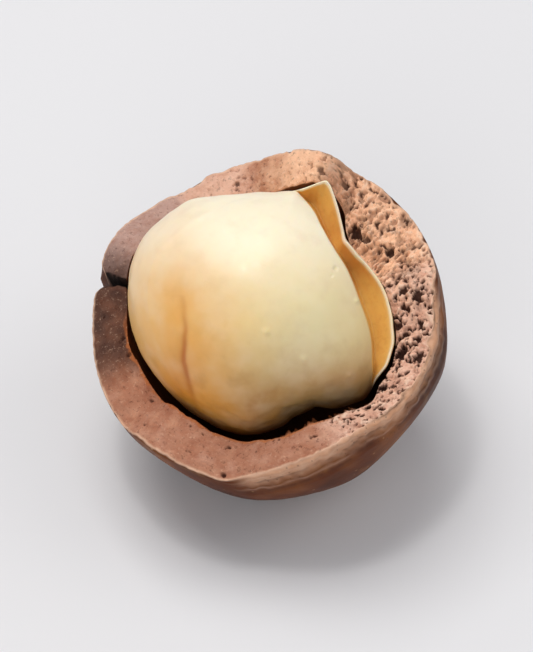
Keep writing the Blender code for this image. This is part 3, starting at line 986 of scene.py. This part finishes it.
    def inner_edge(self, azimuth: Array) -> Array:
        """Points of the rim's inner edge, which is a little ragged.

        Args:
            azimuth: degrees of the columns.

        Returns:
            One point for each column.
        """
        reach, height = self.rim_edges(azimuth)[1]
        inner = self.directions(azimuth, azimuth * 0) * reach[:, None]
        inner[:, 2] = height
        inner[:, :2] *= 1 + np.maximum(self.ragged_edge.at(inner), 0)[:, None]
        return inner

    def rim_tints(self, azimuth: Array, places: Array, share: Array) -> dict[str, Array]:
        """Where the rim is warm (partly a painted highlight), pale, mauve or grey (partly painted shade), and
        where its outer edge gets a painted highlight.

        Args:
            azimuth: degrees of the columns.
            places: the rim's points.
            share: how far across the rim each ring is, from its outer edge.

        Returns:
            Masks by name.
        """
        innermost = eased((share - 0.92 + self.inner_noise.at(places)) / 0.05)
        return {
            "broken": np.ones_like(share),
            # Painted highlight along the rim's outer edge.
            "edge": 1 - eased(share / 0.07 + self.outer_noise.at(places)),
            # Grey at the left of the rim, partly painted shade.
            "grey": arcs(azimuth, self.grey) * (0.85 + self.grey_noise.at(places)),
            "mauve": arcs(azimuth, self.mauve),
            # Warmer at the upper right of the rim, partly a painted highlight.
            "warm": np.clip(arcs(azimuth, self.warm) + self.warm_noise.at(places), 0, 1),
            "pale": np.clip(arcs(azimuth, self.pale) + self.pale_noise.at(places), 0, 1),
            "amber": innermost * arcs(azimuth, self.amber),
        }

    def rim_rings(self, azimuth: Array, outer: Array) -> tuple[Array, dict[str, Array]]:
        """The broken face between the outer edge and the inner edge, with its grain, pits and saw slot.

        Args:
            azimuth: degrees of the columns.
            outer: the outer edge's points.

        Returns:
            The rings and their masks.
        """
        count = self.bands[Band.RIM]
        share = (np.arange(1, count + 1) / count)[:, None]
        places = outer * (1 - share[..., None]) + self.inner_edge(azimuth) * share[..., None]
        reach = np.hypot(places[..., 0], places[..., 1])
        porous = arcs(azimuth, self.porous) * np.ones_like(reach)
        pocked = arcs(azimuth, self.pocked) * (0.35 + 0.65 * share)
        grainy = np.maximum(porous, 0.4 * pocked)
        streaked = arcs(azimuth, self.streaked)
        grit = self.grit(places)
        smooth = self.smooth_wood.at(places) + self.grain(azimuth, reach)
        grooves = self.grooves(azimuth, reach) * streaked
        pits = self.pits(places, porous * (1 - 0.6 * streaked), pocked)
        raised = grainy * (grit + self.lumps.at(places)) + (1 - grainy) * smooth - 0.2 * grooves
        fading = eased(share / 0.05) * (0.2 + 0.8 * eased((1 - share) / 0.06))
        places[..., 2] += self.crown * np.sin(math.pi * share) + fading * (raised - pits) * MM
        width = self.slot_width_out + (self.slot_width_in - self.slot_width_out) * eased(share * 1.3)
        slot = self.in_slot(azimuth, reach, width)
        places[..., 2] -= slot * self.slot_depth
        # Painted shade in the holes and worm-like hollows, and in the dips between the grit and the grain.
        hollow = eased(pits / 0.24) * (1 - 0.4 * pocked) + 0.42 * grooves
        dip_shade = grainy * eased((-grit - 0.04) / 0.12) * 0.35 + 0.4 * eased((-smooth - 0.07) / 0.05)
        masks = self.rim_tints(azimuth, places, share)
        masks["edge"] = masks["edge"] * (1 - slot)
        # Painted highlight on the grit's tops, left off the holes.
        masks["tip"] = np.clip(grainy * eased((grit - 0.02) / 0.1) * (1 - hollow) * 0.5, 0, 1)
        # Painted shade in the pits, hollows and dips.
        masks["pit"] = np.clip(hollow + dip_shade, 0, 0.95)
        # Painted shadow over the saw slot and a little beside it.
        masks["black"] = 0.97 * self.in_slot(azimuth, reach, width + 0.2 * MM)
        return places, {name: mask * np.ones_like(reach) for name, mask in masks.items()}

    def cavity_rings(self, azimuth: Array, inner: Array) -> tuple[Array, dict[str, Array]]:
        """The cavity's wall from the rim's inner edge to its foot, crumbly under the lower right rim.

        Args:
            azimuth: degrees of the columns.
            inner: the inner edge's points.

        Returns:
            The rings and their masks.
        """
        count = self.bands[Band.CAVITY]
        reach, height = self.rim_edges(azimuth)[1]
        rim_polar = 90.0 + np.degrees(np.arctan2(height, reach))
        share = (np.arange(1, count + 1) / (count + 1))[:, None]
        down = gathered(share, 0.25, 3.0)
        elevation = rim_polar * (1 - down) - 90.0
        ways = self.directions(azimuth, elevation)
        radius = self.inside_radius(azimuth, elevation) + 0.05 * MM * rough(ways, 0.2, 81)
        depth = np.radians(rim_polar * down) * self.cavity_radius / MM
        places = ways * radius[..., None]
        near = off_cells(places, self.crumb_size, 82)
        crumbs = arcs(azimuth, self.crumbly) * eased(depth / 0.3) * (1 - eased((depth - 1.6) / 1.6))
        knobs = crumbs * np.maximum(0.62 - near, 0) * 1.5
        rings = places * (1 - knobs * MM / radius)[..., None]
        drop = np.maximum(height - inner[:, 2], 0) / MM
        joined = 1 - eased(depth / (0.7 + 1.7 * drop))
        own_reach = np.hypot(rings[..., 0], rings[..., 1])
        start_reach = np.hypot(inner[:, 0], inner[:, 1])
        wider = np.maximum(start_reach - reach, 0) * joined
        rings[..., :2] *= (1 + wider / own_reach)[..., None]
        rings[..., 2] += (inner[:, 2] - height) * joined
        lining = eased(depth / 0.25) * np.ones_like(azimuth)
        return rings, {
            "lining": lining,
            "broken": 1 - 0.7 * lining,
            # Painted shadow in the crumbly gap, left off the tops of the crumbs.
            "black": crumbs * (0.9 - 0.9 * eased(knobs / 0.4)),
        }

    def build(self, finish: ShellFinish) -> bpy.types.Object:
        """Models the shell and dresses it.

        Args:
            finish: its colours and sheen.

        Returns:
            The finished piece.
        """
        azimuth = self.azimuth
        skin, edge_points, skin_masks = self.skin_rings(azimuth)
        rim, rim_masks = self.rim_rings(azimuth, edge_points)
        cavity, cavity_masks = self.cavity_rings(azimuth, rim[-1])
        masks = {}
        for name in sorted({*skin_masks, *rim_masks, *cavity_masks}):
            parts = []
            for rings, made in ((skin, skin_masks), (rim, rim_masks), (cavity, cavity_masks)):
                parts.append(made.get(name, np.zeros(rings.shape[:2])))
            masks[name] = np.concatenate(parts)
        foot = self.directions(0.0, -90.0)
        poles = np.array([foot * self.outside_radius(foot), foot * self.cavity_radius])
        piece = self.blank()
        self.lay(piece, np.concatenate([skin, rim, cavity]), poles, masks)
        return self.hand_over(piece, finish.material())


@dataclass
class Kernel(RingedPiece):
    """The loose kernel: a round body, an open fold at its right and the fold's thin lip.

    Fields with MM are metres. Angles are degrees, and noises and tables are millimetres.
    """

    name: str = "kernel_folded_body"
    node: str = "kernel"
    lean: Euler = field(default_factory=lambda: KERNEL_LEAN)
    columns: int = 560
    bands: dict[Band, int] = field(default_factory=lambda: {Band.BODY: 84, Band.FOLD: 42, Band.BACK: 50})
    shell: Shell = field(default_factory=Shell)
    centre: tuple[float, float] = (-0.5 * MM, 0.6 * MM)
    front: float = 8.5 * MM
    back: float = 8.8 * MM
    back_fill: float = 0.07
    clearance: float = 0.07 * MM
    fold_fades: tuple[tuple[float, float], tuple[float, float]] = ((-36.0, -31.0), (73.0, 76.0))
    ring_shift: float = 50.0
    fold_steepness: float = 0.9
    fold_depth: float = 1.3 * MM
    lip_thickness: float = 0.24 * MM
    body_end: float = 54.0
    fold_ends: tuple[float, float] = (73.0, 86.0)
    # Place up the kernel's face and to the right, in millimetres.
    crease: tuple[tuple[float, float], ...] = (
        (-6.4, -4.8), (-5.2, -5.15), (-2.8, -5.75), (-0.7, -5.6), (1.8, -5.8),
    )
    crease_width: float = 0.3 * MM
    crease_depth: float = 0.08 * MM
    dimples: Noise = Noise(((0.1, 3.6, 92), (0.035, 1.2, 93)))
    low_dimples: Noise = Noise(((0.05, 0.8, 94),))
    # Place to the right and up the kernel's face, radius and height, in millimetres.
    specks: tuple[tuple[float, float, float, float], ...] = (
        (2.57, -2.62, 0.22, 0.12), (0.0, -0.74, 0.22, 0.09), (6.2, 1.4, 0.16, 0.09), (5.65, -3.7, 0.22, 0.1),
        (4.76, 3.63, 0.15, -0.12), (4.5, 3.15, 0.11, -0.06), (1.9, -4.9, 0.3, -0.06), (3.4, -4.3, 0.4, 0.05),
        (-3.0, -6.2, 0.35, -0.06), (4.4, -4.6, 0.3, -0.05), (0.6, -6.6, 0.4, 0.06), (-1.6, -7.2, 0.3, -0.06),
    )
    # Azimuth in degrees, and reach from the kernel's axis or height over its middle in millimetres.
    girth: RoundCurve = RoundCurve((
        (8, 8.8), (22, 8.4), (36, 8.1), (48, 8.4), (61, 8.9), (73, 8.85), (84, 8.45), (95, 8.4), (110, 8.75),
        (123, 9.35), (135, 9.45), (148, 9.65), (159, 9.6), (168, 9.4), (181, 9.1), (196, 8.8), (212, 8.5),
        (226, 8.4), (240, 8.45), (262, 8.65), (280, 8.15), (290, 7.7), (300, 7.7), (308, 8.5), (315, 9.05),
        (322, 9.5), (332, 9.5), (342, 9.4), (352, 9.2),
    ))
    edge_reach: RoundCurve = RoundCurve((
        (-38, 9.35), (-34, 9.3), (-31, 9.15), (-28, 8.95), (-24, 8.65), (-14, 8.0), (-6, 7.55), (8, 6.9),
        (22, 6.75), (36, 6.75), (45, 6.9), (54, 7.3), (61, 7.9), (65, 8.2), (70, 8.6), (73.3, 8.82),
        (76, 8.75), (82, 8.5),
    ))
    edge_height: RoundCurve = RoundCurve((
        (-38, 1.7), (-34, 1.8), (-31, 2.3), (-28, 2.9), (-24, 3.5), (-14, 4.1), (-6, 4.5), (8, 5.0),
        (22, 5.15), (36, 5.2), (45, 5.0), (54, 4.4), (61, 3.4), (65, 2.6), (70, 1.7), (73.3, 1.25),
        (76, 1.1), (82, 1.1),
    ))
    lip_reach: RoundCurve = RoundCurve((
        (-38, 9.45), (-34, 9.43), (-31, 9.45), (-27, 9.55), (-22, 9.7), (-14, 9.65), (-6, 9.4), (3, 9.17),
        (11, 8.9), (22, 8.32), (32, 7.86), (39, 7.8), (45, 8.25), (53.5, 9.2), (59, 9.95), (61, 10.22),
        (63, 10.36), (65, 10.08), (68.3, 9.52), (71, 9.15), (73.3, 8.92), (76, 8.8), (82, 8.55),
    ))
    lip_height: RoundCurve = RoundCurve((
        (-38, 1.5), (-34, 1.6), (-31, 2.0), (-27, 2.5), (-22, 2.8), (-14, 2.7), (-6, 2.6), (8, 2.4),
        (22, 2.3), (36, 2.5), (45, 2.1), (54, 1.8), (61, 1.5), (65, 1.4), (70, 1.25), (73.3, 1.05),
        (76, 0.9), (82, 0.9),
    ))

    def fold_strength(self, azimuth: Array) -> Array:
        """1 where the kernel is folded, 0 where it is round, with a fade at each end of the fold.

        Args:
            azimuth: degrees of the columns.

        Returns:
            The values, from 0 to 1.
        """
        apart = turned(azimuth)
        (start, full), (fade, end) = self.fold_fades
        return eased((apart - start) / (full - start)) * (1 - eased((apart - fade) / (end - fade)))

    def ring_angles(self, azimuth: Array) -> tuple[Array, Array]:
        """Degrees from the crown of the last ring of the body and of the last ring of the fold.

        Args:
            azimuth: degrees of the columns.

        Returns:
            The two angles of each column.
        """
        (start, _), (_, end) = self.fold_fades
        shift = arc(azimuth, start, end, self.ring_shift)
        at_edge = np.degrees(np.arccos(self.edge_height.at(azimuth) * MM / self.front))
        body = self.body_end + (at_edge - self.body_end) * shift
        return body, self.fold_ends[0] + (self.fold_ends[1] - self.fold_ends[0]) * shift

    def body_profile(self, azimuth: Array, fold: Array) -> Array:
        """Reach and height of each ring from the crown to the edge of the body.

        Args:
            azimuth: degrees of the columns.
            fold: how folded the kernel is at each column.

        Returns:
            The profile, by ring, 2 and column.
        """
        girth = self.girth.at(azimuth) * MM
        last_angle = self.ring_angles(azimuth)[0]
        folded_girth = self.edge_reach.at(azimuth) * MM / np.sin(np.radians(last_angle))
        width = girth + (folded_girth - girth) * fold
        share = (np.arange(1, self.bands[Band.BODY] + 1) / self.bands[Band.BODY])[:, None]
        angle = np.radians(last_angle * share)
        rounder = blurred(width, self.columns // 20)
        width = rounder + (width - rounder) * np.minimum(angle / math.radians(75.0), 1.0) ** 6
        swelled = self.front + (width - self.front) * eased(angle / math.radians(75.0))
        return np.stack([swelled * np.sin(angle), self.front * np.cos(angle)], axis=1)

    def thickness(self, azimuth: Array) -> Array:
        """Thickness of the lip, which thins out where the fold closes."""
        open_width = (self.lip_reach.at(azimuth) - self.edge_reach.at(azimuth)) * MM
        return np.minimum(self.lip_thickness, open_width / 2)

    def fold_profile(self, azimuth: Array, fold: Array, edge: Array) -> Array:
        """Reach and height of each ring down into the fold, up its slope and over the lip.

        Args:
            azimuth: degrees of the columns.
            fold: how folded the kernel is at each column.
            edge: the body's last ring.

        Returns:
            The profile, by ring, 2 and column.
        """
        girth = self.girth.at(azimuth) * MM
        edge_reach, edge_height = self.edge_reach.at(azimuth) * MM, self.edge_height.at(azimuth) * MM
        lip_reach, lip_height = self.lip_reach.at(azimuth) * MM, self.lip_height.at(azimuth) * MM
        open_width = lip_reach - edge_reach
        thickness = self.thickness(azimuth)
        inner_reach = lip_reach - thickness
        depth = np.minimum(self.fold_steepness * open_width, self.fold_depth)
        floor = lip_height - depth
        open_width = inner_reach - edge_reach
        folded = (
            (edge_reach + 0.04 * open_width, edge_height * 0.55 + floor * 0.45),
            (edge_reach + 0.12 * open_width, floor),
            (edge_reach + 0.40 * open_width, floor + 0.14 * depth),
            (edge_reach + 0.75 * open_width, floor + 0.52 * depth),
            (inner_reach, lip_height - 0.08 * MM),
            (lip_reach - 0.4 * thickness, lip_height + 0.03 * MM),
            (lip_reach, lip_height - 0.15 * MM),
        )
        corners = [edge]
        first, last = np.radians(self.ring_angles(azimuth))
        for number, (reach, height) in enumerate(folded, 1):
            angle = first + (last - first) * number / len(folded)
            round_form = np.stack([girth * np.sin(angle), self.front * np.cos(angle)])
            corners.append(round_form + (np.stack([reach, height]) - round_form) * fold)
        count = self.bands[Band.FOLD]
        place = np.arange(1, count + 1) / count * (len(corners) - 1)
        low = np.minimum(place.astype(int), len(corners) - 2)
        part = (place - low)[:, None, None]
        corners = np.array(corners)
        return corners[low] * (1 - part) + corners[low + 1] * part

    def back_profile(self, azimuth: Array, start: Array) -> Array:
        """Reach and height of each ring from under the lip round to the back.

        Args:
            azimuth: degrees of the columns.
            start: the fold's last ring.

        Returns:
            The profile, by ring, 2 and column.
        """
        girth = self.girth.at(azimuth) * MM
        first = np.radians(self.ring_angles(azimuth)[1])
        share = (np.arange(1, self.bands[Band.BACK] + 1) / (self.bands[Band.BACK] + 1))[:, None]
        angle = first + (math.pi - first) * share
        fade = (1 - share) ** 3
        depth = np.where(angle < math.pi / 2, self.front, self.back)
        reach = girth * np.sin(angle) + (start[0] - girth * np.sin(first)) * fade
        height = depth * np.cos(angle) + (start[1] - self.front * np.cos(first)) * fade
        fill = 1 + self.back_fill * np.sin(2 * angle) ** 2 * (angle > math.pi / 2)
        return np.stack([reach * fill, height * fill], axis=1)

    def kept_clear(self, places: Array, spare: Array) -> Array:
        """Draws in the points that would come too near the shell.

        Args:
            places: points in the kernel's own axes.
            spare: extra room to leave at each.

        Returns:
            The points, drawn in where they have to be.
        """
        to_shell = np.array(self.shell.lean.to_matrix().transposed() @ self.lean.to_matrix())
        placed = places @ to_shell.T
        distance = np.linalg.norm(placed, axis=-1)
        azimuth = np.degrees(np.arctan2(placed[..., 1], placed[..., 0]))
        elevation = np.degrees(np.arcsin(np.clip(placed[..., 2] / distance, -1, 1)))
        beside = azimuth + np.array([-5.0, 0.0, 5.0]).reshape(3, *[1] * azimuth.ndim)
        rim_low = self.shell.rim_edges(beside)[1][1].max(axis=0)
        wall = self.shell.inside_radius(beside, elevation).min(axis=0)
        over_rim = np.maximum(placed[..., 2] - rim_low - 2 * self.clearance, 0.0)
        most = wall - self.clearance - spare + over_rim
        placed *= (np.minimum(distance, most) / distance)[..., None]
        return placed @ to_shell

    def surface(self, azimuth: Array) -> tuple[Array, dict[str, Array]]:
        """Places and masks of every ring.

        Args:
            azimuth: degrees of the columns.

        Returns:
            The rings from the crown to the back, and the masks by name.
        """
        fold = self.fold_strength(azimuth)
        body = self.body_profile(azimuth, fold)
        fold_part = self.fold_profile(azimuth, fold, body[-1])
        back = self.back_profile(azimuth, fold_part[-1])
        profile = np.concatenate([body, fold_part, back])
        first, last = len(body) - 3, len(body) + len(fold_part) + 6
        for _ in range(2):
            middle = profile[first:last]
            profile[first:last] = (profile[first - 1:last - 1] + 2 * middle + profile[first + 1:last + 1]) / 4
        a = np.radians(azimuth)
        x = self.centre[0] + profile[:, 0] * np.cos(a)
        y = self.centre[1] + profile[:, 0] * np.sin(a)
        places = np.stack([x, y, profile[:, 1]], axis=-1)
        fold_share = (np.arange(len(profile))[:, None] - len(body)) / self.bands[Band.FOLD]
        in_fold = eased((fold_share + 0.01) / 0.03) * (1 - eased((fold_share - 0.66) / 0.05)) * fold
        short_of_lip = (fold_share > -0.02) * (1 - eased((fold_share - 0.71) / 0.13))
        spare = self.thickness(azimuth) * fold * short_of_lip
        lift, crease = self.relief(places, in_fold)
        places = places * (1 + lift * MM / np.linalg.norm(places, axis=-1))[..., None]
        places = self.kept_clear(places, spare)
        # Painted shade along the trough at the foot of the body's edge.
        trough_shade = in_fold * np.exp(-(((fold_share - 0.22) / 0.13) ** 2))
        masks = self.tints(x / MM, y / MM, profile[:, 1] / MM)
        open_width = self.lip_reach.at(azimuth) - self.edge_reach.at(azimuth)
        masks["fold"] = in_fold * eased((open_width - 0.08) / 0.2)
        # Painted highlight along the lip.
        masks["lip"] = fold * np.exp(-(((fold_share - 0.79) / 0.09) ** 2))
        trough_shade = trough_shade * (0.2 + 0.5 * arc(azimuth, 20, 56, 12))
        # Painted shade in the trough and the crease, on top of the real brown stains.
        masks["brown"] = np.clip(trough_shade + crease * 0.85 + masks["brown"], 0, 0.9)
        return places, {name: mask * np.ones(places.shape[:2]) for name, mask in masks.items()}

    def relief(self, places: Array, in_fold: Array) -> tuple[Array, Array]:
        """Height of the skin's dimples, specks and crease in millimetres, and where the crease is.

        Args:
            places: points of the kernel in its own axes.
            in_fold: where the fold is.

        Returns:
            The height, and 1 along the crease's line, which is painted brown and partly painted shade.
        """
        x, y, z = np.moveaxis(places, -1, 0)
        front = eased(z / MM + 0.5)
        line_y, line_x = np.array(self.crease).T * MM
        along = np.clip((y - line_y[0]) / (line_y[-1] - line_y[0]), 0, 1)
        wander = 0.1 * MM * rough(places, 1.3 * MM, 91, (0.01, 1, 0.01))
        off_crease = (x - np.interp(y, line_y, line_x) - wander) / self.crease_width
        fades = np.sin(math.pi * along) ** 0.6 * front
        crease = np.exp(-(off_crease**2)) * fades
        lower_left = (1 - eased(off_crease / 2 + 0.5)) * np.exp(off_crease / 5) * fades
        dimples = self.dimples.at(places) + self.low_dimples.at(places) * eased((-y / MM - 3.6) / 3)
        lift = (dimples - self.crease_depth / MM * crease - 0.09 * lower_left) * (1 - in_fold * 0.6)
        for speck_x, speck_y, radius, height in self.specks:
            away = np.hypot(x / MM - speck_x, y / MM - speck_y) / radius
            lift = lift + height * np.exp(-(away**2)) * front
        # The crease's brown line, partly painted shade in the crease.
        crease_brown_and_shade = np.exp(-((off_crease / 0.75) ** 2)) * fades
        return lift, crease_brown_and_shade * (0.55 + 0.45 * np.exp(-(((y / MM + 2.6) / 2.0) ** 2)))

    def tints(self, x: Array, y: Array, z: Array) -> dict[str, Array]:
        """Where the flesh is paler at the top as painted light, greenish, darker below partly as painted
        shade, orange and brown.

        Args:
            x: millimetres to the right.
            y: millimetres up the kernel's face.
            z: millimetres forward.

        Returns:
            Masks by name.
        """
        stains = 0.2 * spot(x, y, (5.4, -3.9), (1.9, 0.9)) + 0.3 * spot(x, y, (-6.0, -4.2), (1.3, 2.2))
        left = eased((-x - 3.6) / 3.4) * (0.3 + 0.7 * eased((7.0 - y) / 8.5))
        by_crease = np.exp(-(((x + 4.2) / 2.4) ** 2)) * eased((8.5 - y) / 12) * 0.6
        return {
            # Painted light: paler towards the top of the kernel's face.
            "top": eased((y + 0.5) / 7.0),
            "green": 0.8 * spot(x, y, (3.2, -0.3), (3.0, 4.2)),
            # Darker towards the bottom, partly painted shade.
            "tan": 0.95 * eased((-y + 0.2) / 8.5) * eased((z + 3) / 4),
            "warm": np.clip(left * 0.62 + by_crease, 0, 0.95),
            "brown": stains + 0.35 * eased((-y - 6.3) / 1.8),
        }

    def build(self, finish: KernelFinish) -> bpy.types.Object:
        """Models the kernel and dresses it.

        Args:
            finish: its colours and sheen.

        Returns:
            The finished piece.
        """
        places, masks = self.surface(self.azimuth)
        places, masks = places[::-1], {name: mask[::-1] for name, mask in masks.items()}
        poles = np.array([[*self.centre, -self.back], [*self.centre, self.front]])
        poles = self.kept_clear(poles, np.zeros(2))
        piece = self.blank()
        self.lay(piece, places, poles, masks)
        return self.hand_over(piece, finish.material())


@dataclass
class Studio:
    """A plain pale floor, soft lights and the camera."""

    floor_size: float = 3.0
    floor_colour: Colour = srgb(228, 228, 232)
    elevation: float = 48.0
    distance: float = 0.34
    lens: float = 268.0
    sensor_width: float = 36.0
    near_limit: float = 0.01
    target: tuple[float, float, float] = (0.0, 0.0, 0.0118)
    sky_colour: Colour = (0.95, 0.97, 1.0)
    sky_strength: float = 0.34
    # Name, place, length of its side, watts and colour.
    lamps: tuple[tuple[str, tuple[float, float, float], float, float, Colour], ...] = (
        ("key_light", (-0.1, 0.12, 0.42), 0.3, 1.08, (1.0, 0.98, 0.94)),
        ("spark_light", (-0.08, 0.02, 0.45), 0.05, 0.22, (1.0, 0.98, 0.95)),
        ("side_light", (0.34, 0.04, 0.3), 0.3, 0.3, (1.0, 0.97, 0.93)),
        ("front_light", (-0.12, -0.4, 0.28), 0.35, 0.5, (1.0, 0.97, 0.93)),
    )

    def floor(self) -> None:
        """Lays the floor."""
        bpy.ops.object.select_all(action="DESELECT")
        bpy.ops.mesh.primitive_plane_add(size=self.floor_size)
        floor = bpy.context.object
        floor.name = "studio_floor"
        graph = Graph("floor_plain")
        floor.data.materials.append(graph.dress({"Base Color": self.floor_colour, "Roughness": 0.8}))

    def lamp(self, name: str, place: Sequence[float], size: float, power: float, colour: Colour) -> None:
        """Hangs a square soft light that faces the nut.

        Args:
            name: the light's name.
            place: where it hangs.
            size: the length of its side.
            power: its watts.
            colour: its colour.
        """
        bpy.ops.object.select_all(action="DESELECT")
        bpy.ops.object.light_add(type="AREA", location=place)
        lamp = bpy.context.object
        lamp.name = name
        lamp.data.size = size
        lamp.data.energy = power
        lamp.data.color = colour
        way = Vector(self.target) - Vector(place)
        lamp.rotation_euler = way.to_track_quat("-Z", "Y").to_euler()

    def light(self) -> None:
        """Sets the sky's even light and the lamps."""
        world = bpy.data.worlds.new("studio_sky")
        world.use_nodes = True
        sky = world.node_tree.nodes["Background"]
        sky.inputs["Color"].default_value = (*self.sky_colour, 1.0)
        sky.inputs["Strength"].default_value = self.sky_strength
        bpy.context.scene.world = world
        for lamp in self.lamps:
            self.lamp(*lamp)

    def camera(self) -> None:
        """Sets the camera at the height the nut is seen from."""
        angle = math.radians(self.elevation)
        back = Vector((0, -math.cos(angle), math.sin(angle)))
        bpy.ops.object.select_all(action="DESELECT")
        bpy.ops.object.camera_add(location=Vector(self.target) + back * self.distance)
        camera = bpy.context.object
        camera.rotation_euler = (-back).to_track_quat("-Z", "Y").to_euler()
        camera.data.lens = self.lens
        camera.data.sensor_width = self.sensor_width
        camera.data.clip_start = self.near_limit
        bpy.context.scene.camera = camera
        bpy.context.scene.view_settings.view_transform = "Standard"


def main() -> None:
    """Builds the shell, the kernel and the studio in order."""
    logging.basicConfig(level=logging.INFO, format="%(name)s: %(message)s")
    shell = Shell()
    shell.build(ShellFinish())
    Kernel(shell=shell).build(KernelFinish())
    studio = Studio()
    studio.floor()
    studio.light()
    studio.camera()


if __name__ == "__main__":
    main()
